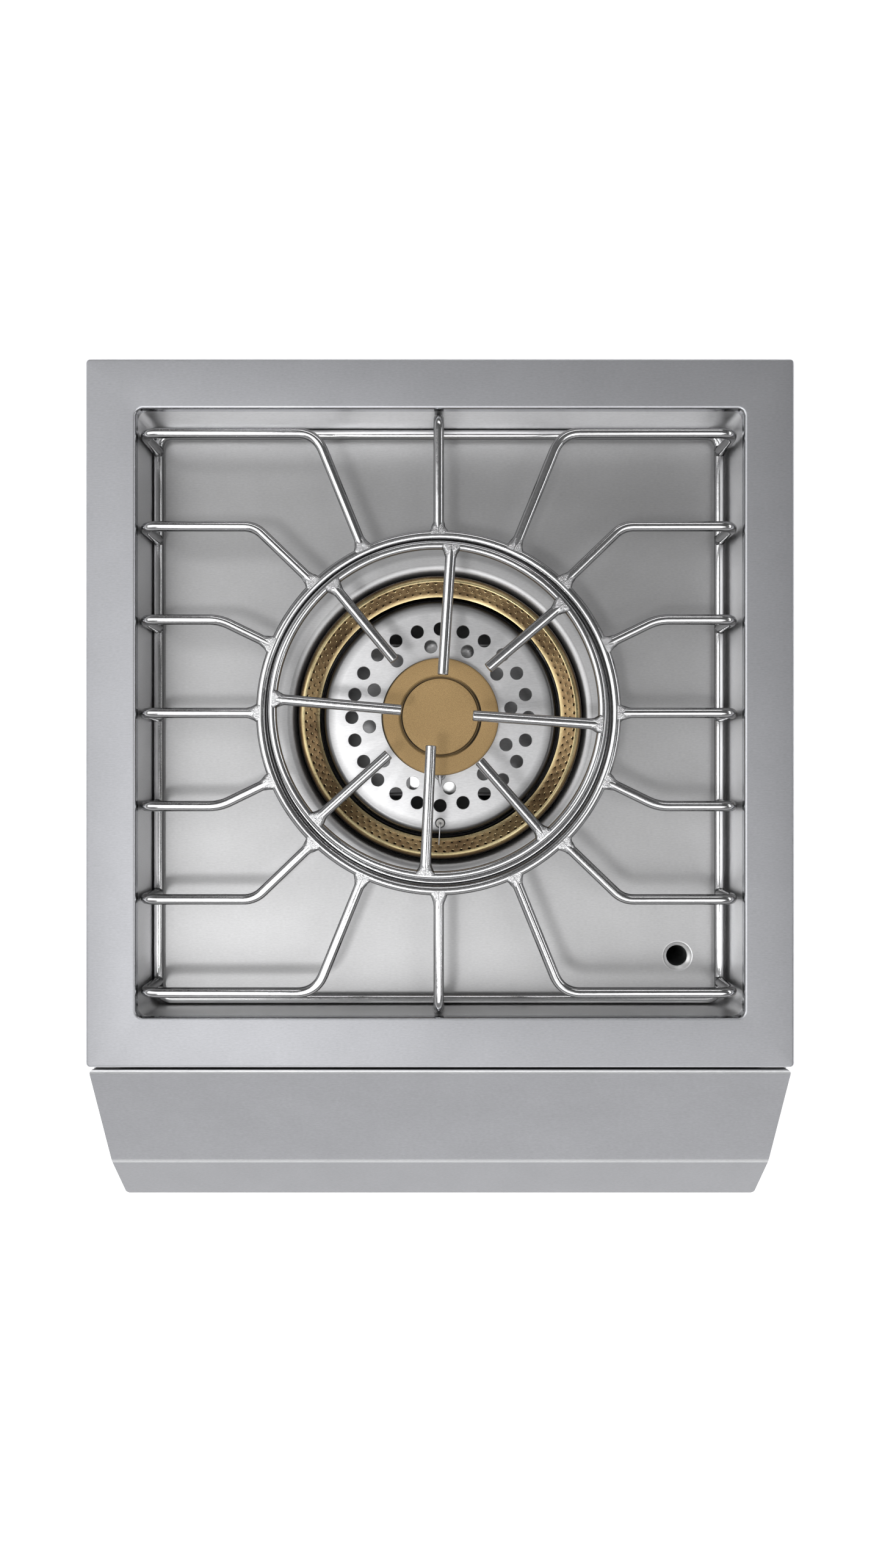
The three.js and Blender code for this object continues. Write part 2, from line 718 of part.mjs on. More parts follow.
function controlSide(side) {
  const under = offsetLine(FASCIA_LINE, SHEET + 0.5);
  const shelf = FASCIA_LIP.z + SHEET + 0.5;
  const outline = [
    [DECK_FRONT - 1, 3],
    [DECK_FRONT - 1, FASCIA_TOP.z - 9.5],
    [FASCIA_TOP.y - 11, FASCIA_TOP.z - 9.5],
    under[3],
    [under[4][0] + 6, shelf + 6],
    [under[4][0] + 6, shelf],
    [PANEL_Y - 3, shelf],
    [PANEL_Y - 3, 3],
  ];
  const inner = DECK_SIZE / 2 - 2.5;
  const from = side > 0 ? inner : -inner - SHEET;
  const plate = alongX(outline, from, from + SHEET);
  const ends = [side * (CASING_HALF - 12), side * (inner + 0.5)].sort((a, b) => a - b);
  const flange = box([ends[0], DECK_FRONT - 1 - SHEET, 24], [ends[1], DECK_FRONT - 1, 231]);
  return join(plate, flange);
}

function controlPanel() {
  const top = FASCIA_LIP.z - GAP;
  const sheet = foldedSheet(
    [
      [PANEL_Y + 16, top],
      [PANEL_Y, top],
      [PANEL_Y, PANEL_BOTTOM],
      [PANEL_Y + 16, PANEL_BOTTOM],
    ],
    SHEET,
    -PANEL_HALF,
    PANEL_HALF,
  );
  const stemHoles = [-CONTROL_X, CONTROL_X].map((x) =>
    bar("y", 6.5, PANEL_Y - 4, PANEL_Y + 4, [x, CONTROL_Z], 16),
  );
  const buttonHole = bar("y", BUTTON_RADIUS + 0.6, PANEL_Y - 4, PANEL_Y + 4, [0, CONTROL_Z], 16);
  return cut(sheet, ...stemHoles, buttonHole);
}

function manifold() {
  const { y, z, radius } = MANIFOLD;
  const corners = [
    vector(-CONTROL_X - 40, y, z),
    vector(INLET_X, y, z),
    vector(INLET_X, CASING_BACK - 12, z),
  ];
  return rod(bentPath(corners, [24], 5), radius, 10);
}

function gasInlet() {
  const start = CASING_BACK - 12 + GAP;
  const end = CASING_BACK + 16;
  return cut(
    join(
      bar("y", 10, start, end, [INLET_X, MANIFOLD.z], 16),
      bar("y", 12.4, start, start + 9, [INLET_X, MANIFOLD.z], 6),
    ),
    bar("y", 6, end - 14, end + 2, [INLET_X, MANIFOLD.z], 12),
  );
}

// A tap on the manifold, with its jet pointing back into the mixing tube.
function valve(x) {
  const saddle = MANIFOLD.z + MANIFOLD.radius + GAP;
  const body = box([x - 11, MANIFOLD.y - 14, saddle], [x + 11, MANIFOLD.y + 10, CONTROL_Z + 12]);
  const nose = bar("y", 9, STEM_START - 12, MANIFOLD.y, [x, CONTROL_Z], 14);
  const jet = bar("y", 5, MANIFOLD.y, TUBE_MOUTH_Y + 8, [x, CONTROL_Z], 6);
  const bore = bar("y", 4.4, STEM_START - 20, STEM_START, [x, CONTROL_Z], 14);
  return cut(join(body, nose, jet), bore);
}

function valveStem(x) {
  const front = KNOB_FRONT + 9;
  const shaft = bar("y", 4, front, STEM_START - GAP, [x, CONTROL_Z], 14);
  const flat = box([x - 6, front - 1, CONTROL_Z + 2.2], [x + 6, front + 17, CONTROL_Z + 6]);
  return cut(shaft, flat);
}

function knob(x) {
  const back = KNOB_FRONT + KNOB_DEPTH;
  const body = turned(
    [
      [0, KNOB_FRONT],
      [19, KNOB_FRONT],
      [20.5, KNOB_FRONT + 1.5],
      [21.5, back - 6],
      [24, back - 4],
      [24, back],
      [0, back],
    ],
    32,
  ).rotateX(-Math.PI / 2);
  const socket = bar("y", 4.6, KNOB_FRONT + 4, back + 2, [0, 0], 14);
  const pointer = box([-1, KNOB_FRONT - 1, 8], [1, KNOB_FRONT + 0.8, 18]);
  return cut(body, socket, pointer).translate(x, 0, CONTROL_Z);
}

const igniterButton = () =>
  bar("y", BUTTON_RADIUS, PANEL_Y - 9, PANEL_Y + 4, [0, CONTROL_Z], 20);

const ignitionModule = () =>
  cut(
    box([-15, PANEL_Y + SHEET + GAP, CONTROL_Z - 15], [15, PANEL_Y + 52, CONTROL_Z + 15]),
    bar("y", BUTTON_RADIUS + 0.6, PANEL_Y, PANEL_Y + 12, [0, CONTROL_Z], 20),
  );

function dripTray() {
  const front = PANEL_Y + 1;
  const top = TRAY_FLOOR + TRAY_HEIGHT;
  const inner = TRAY_HALF - SHEET;
  const pan = cut(
    box([-TRAY_HALF, front, TRAY_FLOOR], [TRAY_HALF, TRAY_BACK, top]),
    box([-inner, front + SHEET, TRAY_FLOOR + SHEET], [inner, TRAY_BACK - SHEET, top + 1]),
  );
  const plate = foldedSheet(
    [
      [front - 12, 10],
      [front - 12, 4],
      [front, 4],
      [front, PANEL_BOTTOM - 1],
    ],
    -SHEET,
    -PANEL_HALF,
    PANEL_HALF,
  );
  return join(pan, plate);
}

// ---------------------------------------------------------------- assembly
const burner = new THREE.Group();
burner.name = "gas_burner";
const grate = new THREE.Group();
grate.position.set(GRATE_X, GRATE_Y, 0);
const trivet = new THREE.Group();
trivet.position.set(TRIVET_X, TRIVET_Y, 0);
const hearth = new THREE.Group();
hearth.position.set(0, DECK_Y, 0);
burner.add(grate, trivet, hearth);

function add(group, name, geometry, material) {
  const mesh = new THREE.Mesh(geometry, material);
  mesh.name = name;
  group.add(mesh);
}

add(burner, "deck_frame", deckFrame(), satinSteel);
add(burner, "well_pan", wellPan(), wellSteel);
add(burner, "drain_tube", drainTube(), galvanised);

add(grate, "grate_base_loop", baseLoop(), polishedSteel);
add(grate, "grate_ring", ring(RING_RADIUS, ROD, GRATE_Z), polishedSteel);
add(grate, "grate_support_ring", ring(SUPPORT_RADIUS, THIN_ROD, SUPPORT_Z), polishedSteel);
for (const [end, word] of [
  [1, "back"],
  [-1, "front"],
]) {
  add(grate, `grate_rod_${word}`, middleRod(end), polishedSteel);
  for (const row of SIDE_ROWS) {
    if (row.row === 0 && end < 0) continue;
    const label = row.row === 0 ? "middle" : `${word}_${row.row}`;
    add(grate, `grate_rod_left_${label}`, sideRod(-1, end, row), polishedSteel);
    add(grate, `grate_rod_right_${label}`, sideRod(1, end, row), polishedSteel);
  }
}

add(trivet, "trivet_ring", ring(TRIVET_RADIUS, THIN_ROD, TRIVET_Z), polishedSteel);
for (const finger of FINGERS) {
  add(trivet, `trivet_finger_${finger.name}`, trivetFinger(finger), polishedSteel);
}

add(hearth, "ring_burner_head", ringBurnerHead(), brass);
add(hearth, "ring_burner_base", ringBurnerBase(), castIron);
add(hearth, "centre_burner", centreBurner(), galvanised);
add(hearth, "centre_mixing_tube", centreMixingTube(), castIron);
add(hearth, "burner_cap", burnerCap(), capBronze);
add(hearth, "baffle_disc", baffleDisc(), baffleSteel);
add(hearth, "burner_bracket", burnerBracket(), galvanised);
add(burner, "igniter_ceramic", igniterCeramic(), ceramic);
add(burner, "igniter_wire", igniterWire(), galvanised);
add(burner, "centre_electrode", centreElectrode(), galvanised);

add(burner, "casing_wrap", casingWrap(), galvanised);
add(burner, "casing_base", casingBase(), galvanised);
add(burner, "fascia", fascia(), satinSteel);
add(burner, "control_side_left", controlSide(-1), satinSteel);
add(burner, "control_side_right", controlSide(1), satinSteel);
add(burner, "control_panel", controlPanel(), satinSteel);
add(burner, "manifold", manifold(), galvanised);
add(burner, "gas_inlet", gasInlet(), fittingBrass);
for (const [x, word] of [
  [-CONTROL_X, "left"],
  [CONTROL_X, "right"],
]) {
  add(burner, `valve_${word}`, valve(x), fittingBrass);
  add(burner, `valve_stem_${word}`, valveStem(x), galvanised);
  add(burner, `knob_${word}`, knob(x), satinSteel);
  add(burner, `air_shutter_${word}`, airShutter(x), galvanised);
}
add(burner, "igniter_button", igniterButton(), blackPlastic);
add(burner, "ignition_module", ignitionModule(), blackPlastic);
add(burner, "drip_tray", dripTray(), galvanised);

export default burner;
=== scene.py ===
"""Looks of a built-in gas burner: brushed steel deck, chromed rod grate and trivet, brass ring burner
with its perforated disc and bronze cap, and the control box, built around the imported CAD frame."""
import math

import bmesh
import bpy
import numpy as np
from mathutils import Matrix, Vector, noise


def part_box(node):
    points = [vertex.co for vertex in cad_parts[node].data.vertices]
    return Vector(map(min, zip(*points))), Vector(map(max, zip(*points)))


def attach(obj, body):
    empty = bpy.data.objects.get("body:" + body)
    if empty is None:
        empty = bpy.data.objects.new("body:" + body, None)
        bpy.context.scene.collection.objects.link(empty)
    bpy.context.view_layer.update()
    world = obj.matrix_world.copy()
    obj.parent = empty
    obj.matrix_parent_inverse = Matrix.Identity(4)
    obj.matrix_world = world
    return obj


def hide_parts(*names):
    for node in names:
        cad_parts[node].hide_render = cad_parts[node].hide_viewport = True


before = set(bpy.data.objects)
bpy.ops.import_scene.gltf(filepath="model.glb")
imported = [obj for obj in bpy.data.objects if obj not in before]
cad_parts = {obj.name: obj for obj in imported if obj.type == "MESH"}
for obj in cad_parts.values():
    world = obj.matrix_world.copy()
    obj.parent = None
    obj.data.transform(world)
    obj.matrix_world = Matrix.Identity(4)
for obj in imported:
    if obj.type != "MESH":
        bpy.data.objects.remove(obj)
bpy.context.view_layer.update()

MM = 0.001

# ---------------------------------------------------------------- places, read from the frame


def span(node):
    """Lowest and highest corner, and middle, of a CAD node as three arrays."""
    low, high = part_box(node)
    low, high = np.array(low), np.array(high)
    return low, high, (low + high) / 2


deck_low, deck_high, deck_middle = span("deck_frame")
well_middle = span("well_pan")[2]
ring_low, ring_high, ring_middle = span("grate_ring")
loop_low, loop_high, loop_middle = span("grate_base_loop")
support_low, support_high, support_middle = span("grate_support_ring")
trivet_low, trivet_high, trivet_middle = span("trivet_ring")
head_low, head_high, head_middle = span("ring_burner_head")
disc_low, disc_high = span("baffle_disc")[:2]
cap_low, cap_high, cap_middle = span("burner_cap")
fascia_low, fascia_high = span("fascia")[:2]
panel_low = span("control_panel")[0]

SHEET = 1.5 * MM
DECK_TOP = deck_high[2]
DECK_HALF = (deck_high[0] - deck_low[0]) / 2
DECK_BORDER = 36 * MM
WELL_HALF = DECK_HALF - DECK_BORDER
WELL_FLOOR = DECK_TOP - 50 * MM
BURNER = head_middle[:2]
SIDES = ((-1, "left"), (1, "right"))
DRAIN = np.array([181 * MM, deck_middle[1] - 182 * MM])
ROD = 3.75 * MM
THIN_ROD = 3.2 * MM
FINGER_ROD = 3.85 * MM
GRATE_Z = ring_middle[2]
LOOP_Z = loop_middle[2]
LOOP_HALF_X = (loop_high[0] - loop_low[0]) / 2 - ROD
LOOP_HALF_Y = (loop_high[1] - loop_low[1]) / 2 - ROD
RING_RADIUS = (ring_high[0] - ring_low[0]) / 2 - ROD
ROW_PITCH = 66.9 * MM
LEG_BEND = 12 * MM
# Side rods by row from the middle one: where the rod bends, how far from its corner the bend
# reaches, and its angle on the ring from the back.
SIDE_ROWS = [
    (3, 88 * MM, 14 * MM, 24.8),
    (2, 132 * MM, 8 * MM, 43.9),
    (1, 157 * MM, 8 * MM, 67.9),
    (0, None, None, 90),
]
TRIVET_RADIUS = (trivet_high[0] - trivet_low[0]) / 2 - THIN_ROD
FINGER_Z = GRATE_Z + 2.8 * MM
LONG_TIP = 25.6 * MM
SHORT_TIP = 47 * MM
# Trivet fingers: angle of the weld and of the tip, clockwise from the back, and the tip's distance.
FINGERS = {
    "n": (4.8, 8.8, LONG_TIP),
    "ne": (49.8, 50.2, SHORT_TIP),
    "e": (95, 98.4, LONG_TIP),
    "se": (139.5, 140.4, SHORT_TIP),
    "s": (184.3, 190.3, LONG_TIP),
    "sw": (227.9, 228, SHORT_TIP),
    "w": (274, 270.3, LONG_TIP),
    "nw": (320.1, 319.4, SHORT_TIP),
}

# ---------------------------------------------------------------- camera, lights and floor

# Brightness of the room by the height of the view direction, the horizontal direction of its brighter
# side, its factors on the dim and the bright side, and how far to either side they are reached.
HEIGHT_LIGHT = [(0.0, 0.42), (0.12, 0.36), (0.28, 0.16), (0.62, 0.13), (0.86, 0.15), (1.0, 0.17)]
BRIGHT_SIDE = (-0.6, -0.8, 0)
SIDE_LIGHT = (0.55, 1.5)
SIDE_REACH = 0.45
CAMERA_LENS = 24.38
CAMERA_ASIDE = (0.66 * MM, -50.8 * MM)
CAMERA_HEIGHT = 760 * MM
# Area lights: direction from the burner, distance in metres, width and height, and power.
SOFTBOXES = {
    "key_light": ((-0.22, -0.27, 1), 2.4, (0.24, 0.24), 7),
    "front_box": ((0.05, -0.62, 1), 2.3, (2.0, 1.1), 12),
    "left_box": ((-0.78, 0.05, 1), 2.2, (1.4, 2.1), 15),
    "right_box": ((0.5, -0.3, 1), 2.4, (0.9, 1.2), 5),
    "right_strip": ((1, 0.1, 0.45), 2.4, (1.8, 0.4), 5),
    "back_strip": ((0.1, 1, 0.7), 2.4, (1.8, 0.4), 4),
}


def put(name, data):
    """A new object in the scene that carries the data."""
    thing = bpy.data.objects.new(name, data)
    bpy.context.scene.collection.objects.link(thing)
    return thing


def add_node(tree, kind, inputs=None, **settings):
    """A shader node with its settings, and with its inputs linked to sockets or set to values."""
    node = tree.nodes.new("ShaderNode" + kind)
    for name, value in settings.items():
        setattr(node, name, value)
    for key, value in (inputs or {}).items():
        if isinstance(value, bpy.types.NodeSocket):
            tree.links.new(value, node.inputs[key])
        else:
            node.inputs[key].default_value = value
    return node


def fill_ramp(node, stops):
    """Gives a colour ramp its stops; each is (position, colour or grey)."""
    elements = node.color_ramp.elements
    while len(elements) < len(stops):
        elements.new(0.5)
    for element, (position, colour) in zip(elements, stops):
        element.position = position
        rgb = colour if isinstance(colour, tuple) else (colour, colour, colour)
        element.color = (*rgb, 1)


def add_camera():
    """A camera straight above, with the deck's top as far below it as in the reference view."""
    data = bpy.data.cameras.new("camera")
    data.sensor_width = 36
    data.lens = CAMERA_LENS
    camera = put("camera", data)
    camera.location = (CAMERA_ASIDE[0], deck_middle[1] + CAMERA_ASIDE[1], DECK_TOP + CAMERA_HEIGHT)
    bpy.context.scene.camera = camera


def add_softbox(name, direction, distance, size, power):
    """An area light of size (width, height) at a distance from the burner, facing it."""
    data = bpy.data.lights.new(name, "AREA")
    data.shape = "RECTANGLE"
    data.size, data.size_y = size
    data.energy = power
    lamp = put(name, data)
    aim = Vector((*BURNER, WELL_FLOOR))
    lamp.location = aim + Vector(direction).normalized() * distance
    lamp.rotation_mode = "QUATERNION"
    lamp.rotation_quaternion = (lamp.location - aim).to_track_quat("Z", "Y")
    lamp.visible_camera = False


def add_world():
    """A pale room: brightest at the horizon, dimmer above, and brighter towards the front left."""
    world = bpy.data.worlds.new("studio")
    bpy.context.scene.world = world
    world.use_nodes = True
    tree = world.node_tree
    place = add_node(tree, "TexCoord").outputs["Generated"]
    split = add_node(tree, "SeparateXYZ", {0: place})
    height = add_node(tree, "ValToRGB", {0: split.outputs["Z"]})
    fill_ramp(height, HEIGHT_LIGHT)
    sides = add_node(tree, "VectorMath", {0: place, 1: BRIGHT_SIDE}, operation="DOT_PRODUCT")
    limits = {1: -SIDE_REACH, 2: SIDE_REACH, 3: SIDE_LIGHT[0], 4: SIDE_LIGHT[1]}
    lean = add_node(tree, "MapRange", {0: sides.outputs["Value"], **limits})
    background = tree.nodes["Background"]
    tree.links.new(height.outputs["Color"], background.inputs["Color"])
    tree.links.new(lean.outputs[0], background.inputs["Strength"])


def glowing_paint(name, albedo, glow):
    """Matt grey or white paint that also glows, so that it stays pale away from the lights."""
    paint = bpy.data.materials.new(name)
    paint.use_nodes = True
    shader = paint.node_tree.nodes["Principled BSDF"]
    shader.inputs["Base Color"].default_value = (albedo, albedo, albedo, 1)
    shader.inputs["Roughness"].default_value = 0.9
    shader.inputs["Specular IOR Level"].default_value = 0
    shader.inputs["Emission Color"].default_value = (1, 1, 1, 1)
    shader.inputs["Emission Strength"].default_value = glow
    return paint


def add_floor():
    """A pale floor, and a pale wall far behind it that only the camera sees."""
    reach = 7
    sides = 96
    floor = circle((0, 0), reach, -0.2 * MM, sides)
    wall = loft([circle((0, 0), reach * 1.01, z, sides) for z in (-1, reach)], closed=False)
    wall = (wall[0], wall[1][:sides])
    for name, (verts, faces), paint in (
        ("floor", (floor, [tuple(range(sides))]), glowing_paint("floor_paint", 0.96, 0.7)),
        ("backdrop", wall, glowing_paint("backdrop_paint", 0.0, 0.9)),
    ):
        mesh = bpy.data.meshes.new(name)
        mesh.from_pydata([tuple(v) for v in verts], [], faces)
        mesh.materials.append(paint)
        thing = put(name, mesh)
        if name == "backdrop":
            thing.visible_glossy = False
            thing.visible_diffuse = False
            thing.visible_shadow = False


# ---------------------------------------------------------------- materials


class Surface:
    """A node material in object coordinates, with short calls for the patterns used here."""

    def __init__(self, name, colour, roughness, metallic=1.0):
        self.material = bpy.data.materials.new(name)
        self.material.use_nodes = True
        self.tree = self.material.node_tree
        self.shader = self.tree.nodes["Principled BSDF"]
        self.shader.inputs["Base Color"].default_value = (*colour, 1)
        self.shader.inputs["Roughness"].default_value = roughness
        self.shader.inputs["Metallic"].default_value = metallic
        self.place = self.add("TexCoord").outputs["Object"]
        self.relief = {}

    def add(self, kind, inputs=None, **settings):
        return add_node(self.tree, kind, inputs, **settings)

    def drive(self, socket, value):
        self.tree.links.new(value, self.shader.inputs[socket])

    def scaled(self, *factors):
        """Object coordinates multiplied by a factor on each axis."""
        return self.add("Mapping", {"Vector": self.place, "Scale": factors}).outputs[0]

    def noise(self, scale, detail=3.0, stretch=(1, 1, 1), distortion=0.0):
        """Noise whose features measure about 1/scale metres, stretched along an axis by its factor."""
        place = self.scaled(*[scale / factor for factor in stretch])
        inputs = {"Vector": place, "Scale": 1, "Detail": detail, "Distortion": distortion}
        return self.add("TexNoise", inputs).outputs["Fac"]

    def cells(self, scale):
        """Flat cells of random brightness that measure about 1/scale metres."""
        texture = self.add("TexVoronoi", {"Vector": self.scaled(scale, scale, scale), "Scale": 1})
        return self.add("SeparateColor", {0: texture.outputs["Color"]}).outputs[0]

    def ramp(self, value, stops):
        """Maps a value to colours or greys."""
        node = self.add("ValToRGB", {0: value})
        fill_ramp(node, stops)
        return node.outputs[0]

    def mix(self, amount, first, second, blend="MIX"):
        """Mixes two colours, each a socket or three numbers, by an amount."""
        first, second = ((*value, 1) if isinstance(value, tuple) else value for value in (first, second))
        inputs = {0: amount, 6: first, 7: second}
        return self.add("Mix", inputs, data_type="RGBA", blend_type=blend).outputs[2]

    def times(self, tone, *factors):
        """A tone multiplied by patterns, colours or plain numbers."""
        for factor in factors:
            if isinstance(factor, float):
                factor = (factor, factor, factor)
            tone = self.mix(1.0, tone, factor, "MULTIPLY")
        return tone

    def colour(self, value):
        self.drive("Base Color", value)

    def roughness(self, value, low, high, source=(0.3, 0.7)):
        """Roughness follows a pattern value, from low to high."""
        self.drive("Roughness", self.range(value, *source, low, high))

    def facing_side(self, direction):
        """How far the surface faces a direction, from -1 to 1."""
        inputs = {0: self.add("NewGeometry").outputs["Normal"], 1: direction}
        return self.add("VectorMath", inputs, operation="DOT_PRODUCT").outputs["Value"]

    def steep(self, low, high):
        """0 on steep faces and 1 on level ones, by the surface's own upward slant."""
        size = self.add("Math", {0: self.facing_side((0, 0, 1))}, operation="ABSOLUTE")
        return self.range(size.outputs[0], low, high)

    def distance(self, centre):
        """Distance from the vertical line through a point, in metres."""
        inputs = {0: self.place, 1: (1, 1, 0), 2: (-centre[0], -centre[1], 0)}
        flat = self.add("VectorMath", inputs, operation="MULTIPLY_ADD")
        return self.add("VectorMath", {0: flat.outputs[0]}, operation="LENGTH").outputs["Value"]

    def range(self, value, low, high, at_low=0.0, at_high=1.0):
        """Carries a value from one range to another, without going past its ends."""
        return self.add("MapRange", {0: value, 1: low, 2: high, 3: at_low, 4: at_high}).outputs[0]

    def bump(self, value, depth):
        """Adds relief of the given depth in metres on top of any relief made before."""
        inputs = {"Distance": depth, "Strength": 1, "Height": value, **self.relief}
        self.relief = {"Normal": self.add("Bump", inputs).outputs[0]}
        self.drive("Normal", self.relief["Normal"])


# Painted light and shade by slant, from upright to level: painted light on the walls of one sheet, and
# on another a painted highlight on its rounded edges and painted shade on its skirt and under its edges;
# and the gain that brings level faces back to their own colour.
WALLS_PAINTED_LIGHT = [(0.0, 1.0), (0.72, 1.0), (0.97, 0.588)]
EDGES_PAINTED_LIGHT_AND_SHADE = [(0.0, 0.6), (0.3, 0.45), (0.6, 0.45), (0.75, 0.8), (0.93, 0.8), (0.985, 0.588)]
PAINTED_LIGHT_GAIN = 1.7
# Painted light and shade on the fascia by slant, and how much its painted highlight on the folds and upper
# slope shows by slant.
FASCIA_PAINTED_SLOPES = [(0.0, 0.8), (0.6, 0.8), (0.68, 0.7), (0.74, 0.7), (0.82, 1.0), (0.88, 1.0), (0.95, 0.8)]
FASCIA_PAINTED_FOLDS = [
    *((0.0, 0.0), (0.716, 0.0), (0.735, 1.0), (0.805, 1.0)),
    *((0.825, 0.0), (0.855, 0.0), (0.875, 1.0)),
]
# Distances from the burner's middle: where the well's roll meets its band of painted light, and where that
# band ends.
WELL_ROLL = (116.2 * MM, 116.8 * MM)
WELL_PAINTED_BAND = (121.5 * MM, 124 * MM)
# Where the painted highlight in the drain ends, from the drain's middle.
DRAIN_HIGHLIGHT_EDGE = (11.4 * MM, 11.8 * MM)
# How the disc darkens from its flat to its edge, over a band of distances from the burner's middle.
DISC_RIM = [(0.0, 1.0), (0.45, 0.6), (0.75, 0.25), (1.0, 0.06)]
DISC_BAND = (79 * MM, 88.5 * MM)
# Painted shade in the cap's groove, across the band of distances that holds it.
CAP_GROOVE_SHADE = [(0.0, 1.0), (0.25, 1.0), (0.36, 0.35), (0.5, 0.35), (0.62, 1.0)]
CAP_BAND = (27 * MM, 33 * MM)


def brushed_steel(
    name, colour, roughness, along=(30, 1, 1), grain=0.004, wave=0.0, spread=0.0, bends=None, edges=None
):
    """Steel with fine brush lines along one axis and faint cloudy variation.

    Spread is the anisotropy, bends the roughness of bends and upright walls, which are smoother, and
    edges the painted light and shade by slant of a sheet that has them.
    """
    surface = Surface(name, colour, roughness)
    if spread:
        surface.shader.inputs["Anisotropic"].default_value = spread
        across = surface.add("Tangent", direction_type="UV_MAP", uv_map="brush")
        surface.drive("Tangent", across.outputs[0])
    lines = surface.noise(3000, 2, along)
    grey = surface.ramp(lines, [(0.3, 0.93), (0.7, 1.0)])
    cloud = surface.ramp(surface.noise(25, 3), [(0.3, 0.95), (0.7, 1.0)])
    speck = surface.ramp(surface.noise(1500, 3, (4, 1, 1)), [(0.3, 0.92), (0.7, 1.03)])
    surface.tone = surface.times(grey, cloud, speck, colour)
    if bends is None:
        surface.roughness(lines, roughness - 0.04, roughness + 0.05)
    else:
        slant = surface.steep(0.0, 1.0)
        surface.roughness(slant, bends, roughness, (0.72, 0.97))
        # Painted light and shade: the tone is scaled by slant, from the edges table.
        surface.tone = surface.times(surface.tone, surface.ramp(slant, edges), PAINTED_LIGHT_GAIN)
    surface.colour(surface.tone)
    surface.bump(lines, grain * MM)
    if wave:
        surface.bump(surface.noise(22, 1), wave * MM)
    return surface


def polished_steel(name, colour, roughness, lump=0.0):
    """Polished steel: faint handling marks, painted shade on steep flanks, and a lumpy skin where lump is
    given.
    """
    surface = Surface(name, colour, roughness)
    marks = surface.noise(900, 4, (1, 1, 1), 0.4)
    surface.roughness(marks, roughness - 0.05, roughness + 0.09)
    surface.bump(marks, 0.006 * MM)
    surface.bump(surface.noise(60, 2), 0.12 * MM)
    # Painted shade on steep flanks.
    flank_painted_shade = surface.ramp(surface.steep(0.38, 0.68), [(0.0, 0.22), (1.0, 1.0)])
    surface.colour(surface.times(flank_painted_shade, colour))
    if lump:
        surface.bump(surface.noise(1100, 3, (1, 1, 1), 1.2), lump * MM)
    return surface


def burner_brass():
    """Cast brass in stained, patchy tones, with a painted highlight on the level crest, painted shade on the
    slopes and upright faces, and deep painted shade in the ports.
    """
    surface = Surface("burner_brass_metal", (0.4, 0.3, 0.15), 0.34)
    stain = surface.noise(30, 3, (1, 1, 1), 0.4)
    fine = surface.noise(700, 4)
    browns = [(0.3, (0.2, 0.13, 0.07)), (0.5, (0.4, 0.27, 0.14)), (0.68, (0.6, 0.43, 0.22))]
    # Painted light by slant: level faces take the bright crest colours as a painted highlight, slanted faces
    # the darker browns as painted shade; the stain noise varies both.
    slope = surface.ramp(stain, browns)
    crest = surface.ramp(stain, [(0.3, (0.78, 0.62, 0.32)), (0.65, (1.0, 0.86, 0.5))])
    tone = surface.mix(surface.steep(0.87, 0.97), slope, crest)
    speck = surface.ramp(fine, [(0.3, 0.84), (0.62, 1.0)])
    # Painted shade on steep faces, deepest in the ports.
    painted_shade = surface.ramp(surface.steep(0.45, 0.8), [(0.0, 0.03), (0.7, 0.3), (1.0, 1.0)])
    surface.colour(surface.times(tone, speck, painted_shade))
    surface.roughness(fine, 0.26, 0.42)
    surface.bump(fine, 0.03 * MM)
    return surface


def cap_bronze():
    """Sand-textured bronze coat with painted shade on its upright edges, most of all on those that face
    left, and in its groove.
    """
    surface = Surface("cap_bronze_coat", (0.5, 0.35, 0.165), 0.7, 0.15)
    grain = surface.noise(1900, 4)
    tone = surface.ramp(grain, [(0.32, (0.41, 0.265, 0.11)), (0.68, (0.61, 0.41, 0.185))])
    # Painted shade: darker on upright edges, on faces turned to the left, and in the groove.
    painted_shade = surface.ramp(surface.steep(0.2, 0.7), [(0.0, 0.2), (1.0, 1.0)])
    left_side = surface.range(surface.facing_side((-1, 0.1, 0)), 0.2, 0.6)
    left_painted_shade = surface.ramp(left_side, [(0.0, 1.0), (1.0, 0.07)])
    groove = surface.ramp(surface.range(surface.distance(BURNER), *CAP_BAND), CAP_GROOVE_SHADE)
    surface.colour(surface.times(tone, painted_shade, left_painted_shade, groove))
    surface.bump(grain, 0.05 * MM)
    return surface


def galvanised_steel():
    surface = Surface("galvanised_sheet", (0.5, 0.51, 0.52), 0.42)
    flakes = surface.cells(170)
    tone = surface.ramp(flakes, [(0.0, (0.5, 0.51, 0.52)), (1.0, (0.6, 0.61, 0.62))])
    cloud = surface.ramp(surface.noise(30, 4), [(0.3, 0.86), (0.7, 1.0)])
    surface.colour(surface.times(tone, cloud))
    surface.roughness(flakes, 0.36, 0.46, (0.0, 1.0))
    surface.bump(surface.noise(900, 3), 0.01 * MM)
    return surface


def grained(name, colour, roughness, metallic, pattern, stops, relief):
    """A surface whose colour and relief both follow one fine grain, given by its scale and detail."""
    surface = Surface(name, colour, roughness, metallic)
    grain = surface.noise(*pattern)
    surface.colour(surface.ramp(grain, stops))
    surface.bump(grain, relief * MM)
    return surface


def cast_iron():
    stops = [(0.3, (0.035, 0.035, 0.037)), (0.7, (0.075, 0.075, 0.078))]
    return grained("cast_iron_skin", (0.05, 0.05, 0.052), 0.68, 0.6, (600, 4), stops, 0.12)


def ceramic():
    stops = [(0.3, (0.78, 0.775, 0.75)), (0.6, (0.88, 0.875, 0.85))]
    return grained("white_ceramic", (0.86, 0.855, 0.83), 0.28, 0.0, (500, 3), stops, 0.01)


